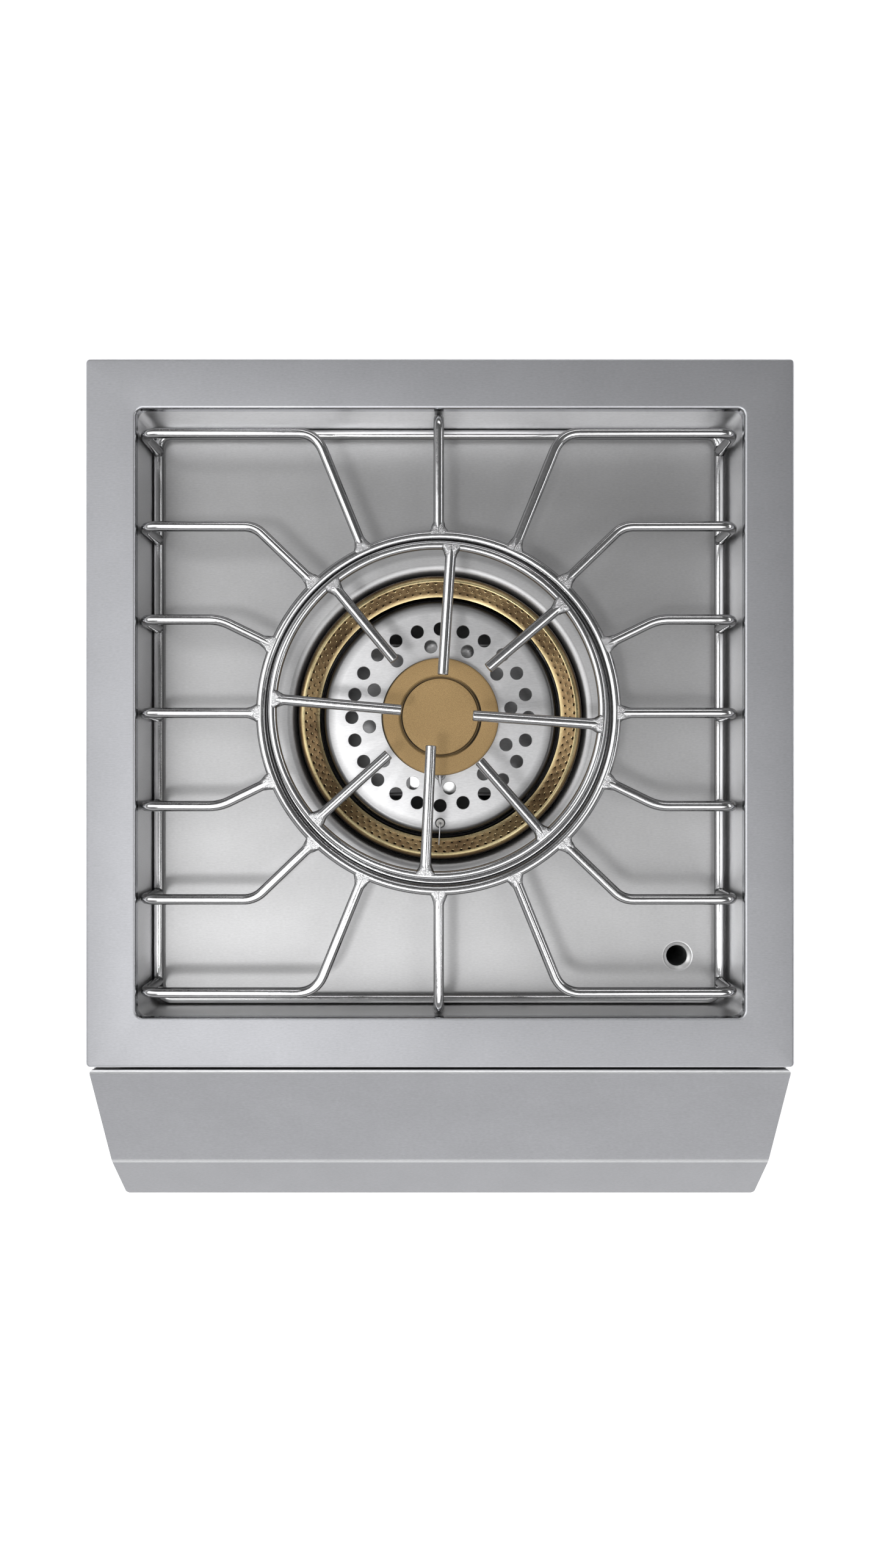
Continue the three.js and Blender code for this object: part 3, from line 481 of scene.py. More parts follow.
def black_plastic():
    stops = [(0.3, (0.01, 0.01, 0.011)), (0.7, (0.018, 0.018, 0.019))]
    return grained("black_plastic_skin", (0.012, 0.012, 0.013), 0.45, 0.0, (1600, 3), stops, 0.02)


def fitting_brass():
    surface = Surface("fitting_brass_metal", (0.62, 0.45, 0.2), 0.3)
    marks = surface.noise(900, 3, (1, 12, 1))
    surface.colour(surface.ramp(marks, [(0.3, (0.5, 0.35, 0.14)), (0.7, (0.68, 0.5, 0.24))]))
    surface.roughness(marks, 0.22, 0.38)
    return surface


def disc_steel():
    """Brushed bright steel that darkens towards its rolled rim."""
    surface = brushed_steel("brushed_disc_steel", (0.93, 0.93, 0.94), 0.4, (25, 1, 1), 0.006, spread=0.5)
    rim = surface.ramp(surface.range(surface.distance(BURNER), *DISC_BAND), DISC_RIM)
    surface.colour(surface.times(surface.tone, rim))
    return surface


def well_steel():
    """The well's satin steel, with painted light: a little brighter on the roll into the burner hole, paler
    in a band round it and on the front wall, and a painted highlight in the drain."""
    surface = brushed_steel(
        "satin_well_steel", (0.59, 0.59, 0.595), 0.5, wave=0.25, bends=0.42, edges=WALLS_PAINTED_LIGHT
    )
    tone = surface.tone
    away = surface.distance(BURNER)
    # Painted light: paler in a band round the burner hole and on the front wall, a painted highlight in the
    # drain, and a brighter roll into the hole.
    pale = surface.times(tone, 1.35)
    floor = surface.mix(surface.range(away, *WELL_PAINTED_BAND), pale, tone)
    front_wall_painted_light = surface.range(surface.facing_side((0, 1, 0)), 0.4, 0.9)
    floor = surface.mix(front_wall_painted_light, floor, pale)
    past_drain = surface.range(surface.distance(DRAIN), *DRAIN_HIGHLIGHT_EDGE)
    floor = surface.mix(past_drain, surface.times(tone, 1.65), floor)
    past_roll = surface.range(away, *WELL_ROLL)
    surface.colour(surface.mix(past_roll, surface.times(tone, 1.1), floor))
    return surface


def fascia_steel(name, back):
    """Satin steel with painted light by slant: paler on the fascia's upper slope and folds, which are told
    by their slant.

    Back is the brightness of faces turned to the back, which are darkened as painted shade in a seam.
    """
    surface = brushed_steel(name, (0.68, 0.685, 0.715), 0.5)
    # Painted light and shade by slant, and painted shade on faces turned to the back.
    slant = surface.steep(0.0, 1.0)
    tone = surface.times(surface.tone, surface.ramp(slant, FASCIA_PAINTED_SLOPES))
    pale = surface.times(surface.tone, (1.2, 1.2, 1.17))
    tone = surface.mix(surface.ramp(slant, FASCIA_PAINTED_FOLDS), tone, pale)
    seam_painted_shade = surface.range(surface.facing_side((0, 1, 0)), 0.8, 0.95, 1.0, back)
    surface.colour(surface.times(tone, seam_painted_shade))
    return surface


SURFACES = {
    "satin_steel": brushed_steel(
        "satin_deck_steel", (0.55, 0.555, 0.58), 0.54, spread=0.6, bends=0.2, edges=EDGES_PAINTED_LIGHT_AND_SHADE
    ),
    "fascia_steel": fascia_steel("satin_fascia_steel", 0.08),
    "box_steel": fascia_steel("satin_box_steel", 1.0),
    "well_steel": well_steel(),
    "polished_steel": polished_steel("polished_rod_steel", (0.80, 0.80, 0.81), 0.15),
    "burner_brass": burner_brass(),
    "bronze_cap": cap_bronze(),
    "brushed_disc": disc_steel(),
    "bracket_steel": brushed_steel("bracket_steel_sheet", (0.7, 0.7, 0.71), 0.35),
    "plate_steel": brushed_steel("plate_steel_sheet", (0.95, 0.95, 0.95), 0.3),
    "cast_iron": cast_iron(),
    "electrode_steel": polished_steel("electrode_steel_metal", (0.55, 0.55, 0.56), 0.3),
    "ceramic": ceramic(),
    "galvanised": galvanised_steel(),
    "fitting_brass": fitting_brass(),
    "knob_metal": brushed_steel("knob_turned_metal", (0.66, 0.66, 0.67), 0.3, (1, 1, 1)),
    "black_plastic": black_plastic(),
}
MATERIALS = {name: surface.material for name, surface in SURFACES.items()}
WELD_METAL = polished_steel("weld_bead_steel", (0.7, 0.7, 0.71), 0.15, lump=0.36).material

# ---------------------------------------------------------------- mesh building


def loft(rings, closed=True):
    """Vertices and faces of a skin over rings of equal length, capped at both ends unless closed."""
    size = len(rings[0])
    count = len(rings)
    faces = []
    for low in range(count if closed else count - 1):
        high = (low + 1) % count
        for i in range(size):
            j = (i + 1) % size
            faces.append((low * size + i, low * size + j, high * size + j, high * size + i))
    if not closed:
        faces.append(tuple(reversed(range(size))))
        faces.append(tuple(range((count - 1) * size, count * size)))
    return np.concatenate([np.asarray(ring, float) for ring in rings]), faces


def circle(centre, radius, z, sides, start=0.0):
    angles = start + np.arange(sides) * 2 * math.pi / sides
    return np.stack(
        [centre[0] + radius * np.cos(angles), centre[1] + radius * np.sin(angles), np.full(sides, z)], 1
    )


def turned(profile, centre, sides=96, closed=True):
    """A [radius, z] profile turned about a vertical axis."""
    return loft([circle(centre, radius, z, sides) for radius, z in profile], closed)


def placed(origin, *points):
    """Flat points given in millimetres from an origin in metres."""
    return [(origin[0] + a * MM, origin[1] + b * MM) for a, b in points]


def bar(radius, low, high):
    """The [radius, height] profile of a plain round bar."""
    return [(radius, low), (radius, high)]


def arc(centre, radius, start, end, steps):
    """Points of a flat arc, angles in degrees."""
    angles = np.radians(np.linspace(start, end, steps + 1))
    return [(centre[0] + radius * math.cos(a), centre[1] + radius * math.sin(a)) for a in angles]


def rounded_square(centre, half_x, half_y, corner, z, corner_steps=12, side_steps=6):
    """Points of a rounded rectangle, evenly placed so that every such ring matches the next."""
    points = []
    for sign_x, sign_y, start in ((1, 1, 0), (-1, 1, 90), (-1, -1, 180), (1, -1, 270)):
        middle = (centre[0] + sign_x * (half_x - corner), centre[1] + sign_y * (half_y - corner))
        points.append(arc(middle, corner, start, start + 90, corner_steps))
    ring = []
    for this, following in zip(points, points[1:] + points[:1]):
        ring.extend(this)
        first, last = np.array(this[-1]), np.array(following[0])
        for step in range(1, side_steps):
            ring.append(tuple(first + (last - first) * step / side_steps))
    return np.array([(x, y, z) for x, y in ring])


def sweep(path, radii, sides=24, closed=False, squash=1.0):
    """A round bar along a path; squash narrows it in height."""
    path = np.asarray(path, float)
    radii = np.broadcast_to(radii, len(path))
    if closed:
        tangents = np.roll(path, -1, 0) - np.roll(path, 1, 0)
    else:
        tangents = np.gradient(path, axis=0)
    tangents /= np.linalg.norm(tangents, axis=1)[:, None]
    guide = np.array([0.0, 0.0, 1.0])
    if abs(tangents[0] @ guide) > 0.9:
        guide = np.array([0.0, 1.0, 0.0])
    angles = np.arange(sides) * 2 * math.pi / sides
    rings = []
    for point, tangent, radius in zip(path, tangents, radii):
        up = guide - tangent * (guide @ tangent)
        up /= np.linalg.norm(up)
        guide = up
        across = np.cross(tangent, up)
        offsets = np.outer(np.cos(angles), across) + np.outer(np.sin(angles) * squash, up)
        rings.append(point + radius * offsets)
    return loft(rings, closed)


def bent(corners, reaches, steps=14):
    """Corner points with each inner corner rounded from a distance before to a distance after it."""
    corners = [np.asarray(corner, float) for corner in corners]
    points = [corners[0]]
    for before, corner, after, reach in zip(corners, corners[1:], corners[2:], reaches):
        start = corner + (before - corner) / np.linalg.norm(before - corner) * reach
        end = corner + (after - corner) / np.linalg.norm(after - corner) * reach
        for t in np.linspace(0, 1, steps + 1):
            points.append((1 - t) ** 2 * start + 2 * t * (1 - t) * corner + t**2 * end)
    points.append(corners[-1])
    return points


def finely(line, step):
    """The same line with points added so that none of its segments is longer than a step."""
    points = [line[0]]
    for start, end in zip(line, line[1:]):
        count = max(1, math.ceil(np.linalg.norm(end - start) / step))
        points.extend(start + (end - start) * k / count for k in range(1, count + 1))
    return np.array(points)


def joined(*parts):
    """Several skins as one list of vertices and faces."""
    verts, faces = [], []
    for part_verts, part_faces in parts:
        offset = sum(len(v) for v in verts)
        verts.append(np.asarray(part_verts, float))
        faces.extend(tuple(i + offset for i in face) for face in part_faces)
    return np.concatenate(verts), faces


def prism(outline, low, high, axis):
    """A flat outline pushed along an axis; it holds (y, z) for x, (x, z) for y and (x, y) for z."""
    flat = np.asarray(outline, float)
    column = "xyz".index(axis)
    return loft([np.insert(flat, column, depth, axis=1) for depth in (low, high)], closed=False)


def block(low, high):
    """A box between two corners."""
    outline = [(low[0], low[1]), (high[0], low[1]), (high[0], high[1]), (low[0], high[1])]
    return prism(outline, low[2], high[2], "z")


def beside(line, distance):
    """A flat line's points moved to its left."""
    tangents = np.gradient(line, axis=0)
    tangents /= np.linalg.norm(tangents, axis=1)[:, None]
    return line + np.stack([-tangents[:, 1], tangents[:, 0]], 1) * distance


def folded(corners, reach, thickness, low, high, axis):
    """A bent sheet whose outer face follows a line of corners; a positive thickness lies to its left."""
    line = np.array(bent(corners, [reach] * len(corners), 6))
    return prism([*line, *beside(line, thickness)[::-1]], low, high, axis)


def slot_hole(middle, half_length, half_height, depth, axis):
    """A cutter for a slot with round ends, long in its first direction, through a wall facing an axis."""
    reach = half_length - half_height
    outline = [
        *arc((middle[0] + reach, middle[1]), half_height, -90, 90, 10),
        *arc((middle[0] - reach, middle[1]), half_height, 90, 270, 10),
    ]
    return prism(outline, *depth, axis)


def facing(profile, place, sides=64, closed=False):
    """A [radius, y] profile turned about the front-to-back line through (x, z)."""
    verts, faces = turned(profile, (0, 0), sides, closed)
    return np.stack([verts[:, 0] + place[0], verts[:, 2], verts[:, 1] + place[1]], 1), faces


def aimed(skin, place, direction):
    """Turns a skin made about the Z axis to a direction, and moves it to a place."""
    turn = np.array(Vector(direction).to_track_quat("Z", "Y").to_matrix())
    return skin[0] @ turn.T + np.asarray(place), skin[1]


def add_brush_map(mesh):
    """UVs whose first axis runs across the brush lines, which lie along X on level and front faces
    and along Y on side faces."""
    layer = mesh.uv_layers.new(name="brush")
    for polygon in mesh.polygons:
        flat = abs(polygon.normal.z) > 0.3
        for corner in polygon.loop_indices:
            x, y, z = mesh.vertices[mesh.loops[corner].vertex_index].co
            layer.data[corner].uv = (y if flat else z, x + (0 if flat else y))


def solid_mesh(name, skin, bevel=0.0):
    """A mesh of a closed skin, its faces turned outwards and its sharp edges bevelled by a width."""
    mesh = bpy.data.meshes.new(name)
    mesh.from_pydata([tuple(v) for v in skin[0]], [], skin[1])
    work = bmesh.new()
    work.from_mesh(mesh)
    bmesh.ops.recalc_face_normals(work, faces=work.faces)
    if bevel:
        edges = [edge for edge in work.edges if edge.calc_face_angle(0) > math.radians(30)]
        bmesh.ops.bevel(
            work, geom=edges, offset=bevel, segments=2, profile=0.5, affect="EDGES", clamp_overlap=True
        )
    work.to_mesh(mesh)
    work.free()
    return mesh


def shade(mesh, sharp):
    """Smooth shading up to an angle in degrees between faces."""
    mesh.shade_smooth()
    mesh.set_sharp_from_angle(angle=math.radians(sharp))


def piece(name, skin, body, slot, nodes=(), material=None, sharp=35, bevel=0.0):
    """A closed mesh as a piece that rides on a body and may stand for CAD nodes."""
    mesh = solid_mesh(name, skin, bevel)
    mesh.materials.append(material or MATERIALS[slot])
    add_brush_map(mesh)
    shade(mesh, sharp)
    thing = put(name, mesh)
    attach(thing, body)
    if nodes:
        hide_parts(*nodes)
    return thing


def cut(thing, skin, sharp=35):
    """Takes a closed skin out of a piece."""
    cutter = put("cutter", solid_mesh("cutter", skin))
    modifier = thing.modifiers.new("cut", "BOOLEAN")
    modifier.operation = "DIFFERENCE"
    modifier.solver = "MANIFOLD"
    modifier.object = cutter
    bpy.context.view_layer.update()
    shape = bpy.data.meshes.new_from_object(thing.evaluated_get(bpy.context.evaluated_depsgraph_get()))
    thing.modifiers.clear()
    thing.data = shape
    bpy.data.objects.remove(cutter)
    shade(shape, sharp)


def polar(distance, degrees, z, centre=(0, 0)):
    """A point at a distance from a centre, at an angle clockwise from the back."""
    angle = math.radians(degrees)
    return np.array([centre[0] + distance * math.sin(angle), centre[1] + distance * math.cos(angle), z])


# ---------------------------------------------------------------- deck and well


def build_deck():
    """The deck: a frame with rolled edges and a skirt, as a section given by its inset and height."""
    top = DECK_TOP
    low = deck_low[2]
    edge = 2.2 * MM
    lip = DECK_BORDER
    drop = 6 * MM
    flange = 14 * MM
    section = [
        (flange, low),
        *placed((0, low), (0.8, 0), (0, 0.8)),
        *arc((edge, top - edge), edge, 180, 90, 8),
        *arc((lip - edge, top - edge), edge, 90, 0, 8),
        (lip, top - drop),
        (lip - SHEET, top - drop),
        *arc((lip - edge, top - edge), edge - SHEET, 0, 90, 3),
        *arc((edge, top - edge), edge - SHEET, 90, 180, 3),
        (SHEET, low + SHEET),
        (flange, low + SHEET),
    ]
    rings = []
    for inset, z in section:
        half = DECK_HALF - inset
        corner = 5 * MM + lip - inset if inset > flange else max(1.2 * MM, 3.2 * MM - inset)
        rings.append(rounded_square(deck_middle, half, half, corner, z))
    piece("deck_sheet", loft(rings), "housing", "satin_steel", ["deck_frame"])


def build_well():
    """The recessed pan, rolled down into the burner hole, with its dimpled drain."""
    rim = DECK_TOP - 6.3 * MM
    bend = 4.5 * MM
    hole = 110 * MM
    roll = 6.5 * MM
    neck = WELL_FLOOR - 14 * MM
    fold = (WELL_HALF - bend, WELL_FLOOR + bend)
    wall = [(WELL_HALF, rim), *arc(fold, bend, 0, -90, 8)]
    back = [*arc(fold, bend + SHEET, -90, 0, 6), (WELL_HALF + SHEET, rim)]

    def square(half, z):
        corner = max(7 * MM + half - WELL_HALF, 2.5 * MM)
        return rounded_square(well_middle, half, half, corner, z, 12, 30)

    rings = [square(half, z) for half, z in wall]
    count = len(rings[0])
    outline = rounded_square((0, 0), WELL_HALF, WELL_HALF, 7 * MM, 0, 12, 30)
    angles = np.arctan2(outline[:, 1], outline[:, 0])

    def round_ring(radius, z):
        flat = np.stack([np.cos(angles), np.sin(angles)], 1) * radius + BURNER
        return np.concatenate([flat, np.full((count, 1), z)], 1)

    floor_edge = rings[-1]
    mouth = round_ring(hole + roll, WELL_FLOOR)
    rings.extend(floor_edge + (mouth - floor_edge) * t for t in np.linspace(0, 1, 15)[1:-1])
    rings.extend(round_ring(r, z) for r, z in arc((hole + roll, WELL_FLOOR - roll), roll, 90, 180, 12))
    rings.append(round_ring(hole, neck))
    rings.append(round_ring(hole + SHEET, neck))
    underside = arc((hole + roll, WELL_FLOOR - roll), roll - SHEET, 180, 90, 6)
    rings.extend(round_ring(r, z) for r, z in underside)
    rings.extend(square(half, z) for half, z in back)
    pan = piece("well_sheet", loft(rings), "housing", "well_steel", ["well_pan"], sharp=60)
    dimple = 11.6 * MM
    depth = 8 * MM
    cut(pan, turned(bar(dimple, WELL_FLOOR - depth, WELL_FLOOR + depth), DRAIN, 64, False), 60)
    profile = placed(
        (0, WELL_FLOOR),
        *((7.9, -3.8), (9.9, -3.8), (11.6, -1.5), (11.6, 0)),
        *((10.9, -0.15), (9.5, -2.0), (8.4, -2.4), (7.9, -3.0)),
    )
    piece("drain_dimple", turned(profile, DRAIN, 64), "housing", "well_steel")


# ---------------------------------------------------------------- grate and trivet


def ring_bar(centre, radius, rod, z):
    return sweep(circle(centre, radius, z, 180), rod, 24, closed=True)


def weld(foot, towards, rod, flare=1.5, reach=5.5 * MM, into=2.0 * MM, seed=0.0):
    """A lumpy bead round a bar's end: it widens to its foot, and goes a little way into the mate."""
    foot = np.asarray(foot, float)
    axis = np.asarray(towards, float)
    axis /= np.linalg.norm(axis)
    up = np.array([0.0, 0.0, 1.0]) if abs(axis[2]) < 0.9 else np.array([1.0, 0.0, 0.0])
    across = np.cross(axis, up)
    across /= np.linalg.norm(across)
    up = np.cross(across, axis)
    sides = 40
    lumpiness = 0.17
    angles = np.arange(sides) * 2 * math.pi / sides
    rings = []
    for step in np.linspace(0, 1, 15):
        along = reach - step * (reach + into)
        grow = 1 + (flare - 1) * min(step * 1.25, 1) ** 1.7
        if step == 0:
            grow = 0.97
        ring = []
        for angle in angles:
            side = math.cos(angle)
            high = math.sin(angle)
            widen = 1 + (grow - 1) * (0.35 + 0.65 * abs(side))
            lump = noise.fractal(Vector((side * 2.2 + seed, high * 2.2, step * 3.1)), 0.9, 2.2, 4)
            swell = 0 if step == 0 else lumpiness * lump * min(1, step * 3)
            radius = rod * (widen + swell)
            ring.append(foot + axis * along + radius * (side * across + min(high, 0.9) * up * 0.94))
        rings.append(np.array(ring))
    rings = np.array(rings)
    if abs(axis[2]) < 0.9:
        rings[:, :, 2] = np.minimum(rings[:, :, 2], foot[2] + rod * 0.995)
    return loft(list(rings), closed=False)


def side_rod(side, end, row, bend_x, bend_reach, degrees):
    """Path of a side rod from its foot on the base loop to the ring, measured from the grate's middle."""
    y = end * row * ROW_PITCH
    angle = degrees if end > 0 else 180 - degrees
    start = polar(RING_RADIUS, angle, GRATE_Z)
    start[0] *= side
    leg = [(side * LOOP_HALF_X, y, z) for z in (LOOP_Z, GRATE_Z)]
    if bend_x is None:
        return bent([*leg, start], [LEG_BEND])
    return bent([*leg, (side * bend_x, y, GRATE_Z), start], [LEG_BEND, bend_reach])


def middle_rod(end):
    """Path of a middle rod, from the base loop's front or back to the ring."""
    y = end * LOOP_HALF_Y
    return bent([(0, y, LOOP_Z), (0, y, GRATE_Z), (0, end * RING_RADIUS, GRATE_Z)], [LEG_BEND])


def build_grate():
    """The welded rod grate: rods, top ring, lower ring, base loop and beads."""
    centre = np.array([*ring_middle[:2], 0])
    beads = []
    paths = {}
    for end, word in ((1, "back"), (-1, "front")):
        paths[f"grate_rod_{word}"] = middle_rod(end)
        for row, *bend in SIDE_ROWS:
            if row == 0 and end < 0:
                continue
            label = "middle" if row == 0 else f"{word}_{row}"
            for side, side_word in SIDES:
                paths[f"grate_rod_{side_word}_{label}"] = side_rod(side, end, row, *bend)
    for number, (node, path) in enumerate(paths.items()):
        path = np.array(path) + centre
        piece(node.replace("grate_rod", "rod"), sweep(path, ROD), "grate", "polished_steel", [node])
        inward = path[-1] - path[-2]
        inward /= np.linalg.norm(inward)
        rim = path[-1] - inward * ROD * 0.9
        beads.append(weld(rim, -inward, ROD, 1.85, 7.5 * MM, 3.0 * MM, number * 3.7))
        foot = path[0] + np.array([0, 0, ROD * 0.9])
        beads.append(weld(foot, (0, 0, 1), ROD, 1.3, 3.5 * MM, 2.4 * MM, number * 5.3 + 80))
    piece("grate_welds", joined(*beads), "grate", "polished_steel", material=WELD_METAL, sharp=80)
    top_ring = ring_bar(ring_middle, RING_RADIUS, ROD, GRATE_Z)
    piece("grate_top_ring", top_ring, "grate", "polished_steel", ["grate_ring"])
    radius = (support_high[0] - support_low[0]) / 2 - THIN_ROD
    low_ring = ring_bar(support_middle, radius, THIN_ROD, support_middle[2])
    piece("grate_lower_ring", low_ring, "grate", "polished_steel", ["grate_support_ring"])
    loop = rounded_square(loop_middle, LOOP_HALF_X, LOOP_HALF_Y, 10 * MM, LOOP_Z, 14, 20)
    piece("base_loop", sweep(loop, ROD, 24, closed=True), "grate", "polished_steel", ["grate_base_loop"])


def build_trivet():
    """The loose trivet: a hoop with eight fingers and their beads."""
    ring = ring_bar(trivet_middle, TRIVET_RADIUS, THIN_ROD, trivet_middle[2])
    piece("trivet_hoop", ring, "trivet", "polished_steel", ["trivet_ring"])
    beads = []
    for number, (name, (weld_angle, tip_angle, reach)) in enumerate(FINGERS.items()):
        start = polar(TRIVET_RADIUS, weld_angle, FINGER_Z, trivet_middle)
        tip = polar(reach, tip_angle, FINGER_Z, trivet_middle)
        inward = (tip - start) / np.linalg.norm(tip - start)
        chamfer = 0.5 * MM
        path = [start, tip - inward * 2 * chamfer, tip - inward * chamfer, tip]
        radii = [FINGER_ROD] * 3 + [FINGER_ROD - chamfer]
        node = f"trivet_finger_{name}"
        piece(f"finger_{name}", sweep(path, radii, 32), "trivet", "polished_steel", [node])
        edge = start + inward * THIN_ROD * 0.8
        beads.append(weld(edge, inward, FINGER_ROD, 1.8, 7 * MM, 2.6 * MM, number * 4.1 + 31))
    piece("trivet_welds", joined(*beads), "trivet", "polished_steel", material=WELD_METAL, sharp=80)


# ---------------------------------------------------------------- burner


def build_ring_head():
    """The brass ring: a turned casting whose inner slope carries three rows of gas ports."""
    outer = (head_high[0] - head_low[0]) / 2
    inner = 92 * MM
    crest = head_high[2]
    foot = head_low[2]
    ports = 100
    columns = ports * 4
    step = 2 * math.pi / columns
    slope_top = np.array([102.9 * MM, crest - 0.1 * MM])
    slope_end = np.array([93.2 * MM, crest - 6.6 * MM])
    slope = slope_end - slope_top
    slope /= np.linalg.norm(slope)
    inward = np.array([-slope[1], slope[0]])
    # Bands along the slope: start, end, distance and radius of the ports, and whether the ports are
    # shifted by half their pitch.
    rows = [
        (0.2 * MM, 2.6 * MM, 1.25 * MM, 0.88 * MM, 0),
        (2.6 * MM, 6.8 * MM, 5.0 * MM, 0.72 * MM, 1),
        (6.8 * MM, 10.6 * MM, 8.8 * MM, 0.55 * MM, 0),
    ]
    verts = []
    faces = []
    index = {}

    def vertex(key, angle, radius, z):
        if key not in index:
            index[key] = len(verts)
            verts.append((BURNER[0] + radius * math.cos(angle), BURNER[1] + radius * math.sin(angle), z))
        return index[key]

    def on_slope(distance, depth=0.0):
        return slope_top + slope * distance + inward * depth

    def band(this, following):
        """Faces between two closed rows of vertices."""
        for k in range(len(this)):
            after = (k + 1) % len(this)
            faces.append((this[k], this[after], following[after], following[k]))

    for start, end, middle, port, shift in rows:
        for number in range(ports):
            first = number * 4 + shift * 2
            edge = [(("s", start, (first + k) % columns), first + k, start) for k in range(5)]
            edge.append((("m", middle, (first + 4) % columns), first + 4, middle))
            edge.extend((("s", end, (first + k) % columns), first + k, end) for k in range(4, -1, -1))
            edge.append((("m", middle, first % columns), first, middle))
            centre_angle = (first + 2) * step
            centre_radius = on_slope(middle)[0]
            outline = []
            directions = []
            for key, column, distance in edge:
                outline.append(vertex(key, column * step, *on_slope(distance)))
                across = (column * step - centre_angle) * centre_radius
                along = distance - middle
                size = math.hypot(across, along)
                directions.append((across / size, along / size))
            previous = outline
            # Radius and depth of the rings of vertices that lead from the slope down into a port.
            steps = (
                (port * 1.5, 0.0),
                (port * 1.3, 0.03 * MM),
                (port, 0.26 * MM),
                (port * 0.97, 0.8 * MM),
                (port * 0.97, 2.2 * MM),
            )
            for level, (size, depth) in enumerate(steps):
                current = []
                for k, (across, along) in enumerate(directions):
                    radius, z = on_slope(middle + along * size, depth)
                    angle = centre_angle + across * size / centre_radius
                    current.append(vertex(("p", start, number, level, k), angle, radius, z))
                band(previous, current)
                previous = current
            faces.append(tuple(previous))
    wall = 2 * MM
    fillet = 5.6 * MM
    end_z = on_slope(rows[-1][1])[1]
    profile = [
        (inner + 0.3 * MM, end_z - 0.6 * MM),
        (inner, end_z - 1.5 * MM),
        (inner, foot),
        (inner + wall, foot),
        (inner + wall, crest - 9.4 * MM),
        (outer - 9 * MM, crest - 3.6 * MM),
        (outer - 6 * MM, crest - 3.1 * MM),
        (outer - wall, crest - 7 * MM),
        (outer - wall, foot),
        (outer, foot),
        *arc((outer - fillet, crest - fillet), fillet, 0, 88, 10),
    ]

    def slope_row(distance):
        """The row of vertices round the slope at a distance along it, as the ports left it."""
        return [vertex(("s", distance, c), c * step, *on_slope(distance)) for c in range(columns)]

    previous = slope_row(rows[-1][1])
    for level, (radius, z) in enumerate(profile):
        current = [vertex(("w", level, c), c * step, radius, z) for c in range(columns)]
        band(previous, current)
        previous = current
    band(previous, slope_row(rows[0][0]))
    piece("brass_ring", (np.array(verts), faces), "housing", "burner_brass", ["ring_burner_head"], sharp=40)


def build_disc():
    """The perforated disc between the ring and the cap, with its rolled rim."""
    top = disc_high[2]
    thickness = 1.2 * MM
    flat = 84 * MM
    roll = 5 * MM
    skirt = disc_low[2]
    hole = 39 * MM
    rim = (flat, top - roll)
    profile = [
        (hole, top - thickness),
        *arc(rim, roll - thickness, 90, 0, 8),
        (flat + roll - thickness, skirt),
        (flat + roll, skirt),
        *arc(rim, roll, 0, 90, 12),
        (hole, top),
    ]
    disc = piece("perforated_disc", turned(profile, BURNER, 180), "housing", "brushed_disc", ["baffle_disc"])
    port = 4.9 * MM
    flare = 0.25 * MM
    places = [polar(67.3 * MM, k * 15, 0, BURNER) for k in range(24)]
    places.extend(polar(54.3 * MM, k * 30 - 7.5, 0, BURNER) for k in range(12))
    punch = [(port, top - 3 * MM), (port, top - flare), (port + flare, top), (port + flare, top + 3 * MM)]
    tools = [turned(punch, place, 40, False) for place in places]
    socket = bar(3.9 * MM, top - 3 * MM, top + 3 * MM)
    tools.append(turned(socket, span("igniter_ceramic")[2], 40, False))
    cut(disc, joined(*tools))


def build_cap():
    """The bronze cap: a flat ring and a raised middle, with a soft groove between them."""
    radius = (cap_high[0] - cap_low[0]) / 2
    top = cap_high[2]
    base = cap_low[2]
    edge = 2.2 * MM
    groove = 29.5 * MM
    profile = [
        (6 * MM, base),
        (radius - 3 * MM, base),
        *arc((radius - edge, base + edge), edge, -60, 0, 4),
        *arc((radius - edge, top - 1.0 * MM - edge), edge, 0, 84, 8),
        (radius - 6 * MM, top - 0.85 * MM),
        *placed((groove, top), (3.6, -0.9), (1.9, -1.15), (0.5, -2.6), (-0.3, -2.7)),
        *placed((groove, top), (-0.7, -1.3), (-1.2, -0.45), (-2.4, -0.1), (-6, 0)),
        (6 * MM, top),
    ]
    piece("bronze_cap_lid", turned(profile, cap_middle, 128, False), "cap", "bronze_cap", ["burner_cap"])


def build_igniters():
    """The spark igniter at the ring, and the electrode at the centre burner."""
    low, high, middle = span("igniter_ceramic")
    top = high[2]
    profile = [
        *placed((0, low[2]), (2, 0), (5, 0), (5, 9.5), (3, 11)),
        *placed((0, top), (3, -0.6), (2.4, 0), (1.5, 0), (1.3, -0.5), (0.9, -0.5)),
    ]
    place = (0, middle[1])
    piece("spark_ceramic", turned(profile, place, 40, False), "housing", "ceramic", ["igniter_ceramic"])
    tip = (-1 * MM, span("igniter_wire")[0][1] + 0.4 * MM, top + 2.8 * MM)
    path = bent([(0, place[1], top - 0.4 * MM), (0, place[1], top + 4.2 * MM), tip], [1.6 * MM])
    radii = [0.7 * MM] * (len(path) - 1) + [0.35 * MM]
    piece("spark_wire", sweep(path, radii, 12), "housing", "electrode_steel", ["igniter_wire"])
    foot_low, foot_high = span("centre_electrode")[:2]
    centre = (0, foot_high[1] - 4.2 * MM)
    base = foot_low[2]
    collar = placed(
        (0, base), (1.4, 0), (4.2, 0), (4.2, 1.9), (3.7, 2.4), (2.6, 2.4), (2.3, 1.2), (1.4, 1.2)
    )
    line = [
        (0, centre[1], base + 1.4 * MM),
        (0, centre[1] - 5 * MM, base + 1.6 * MM),
        (0, foot_low[1], base + 1.6 * MM),
    ]
    point = sweep(line, [1.6 * MM, 1.4 * MM, 0.3 * MM], 16)
    skin = joined(turned(collar, centre, 40), point)
    piece("centre_spark", skin, "housing", "electrode_steel", ["centre_electrode"])


# ---------------------------------------------------------------- control box


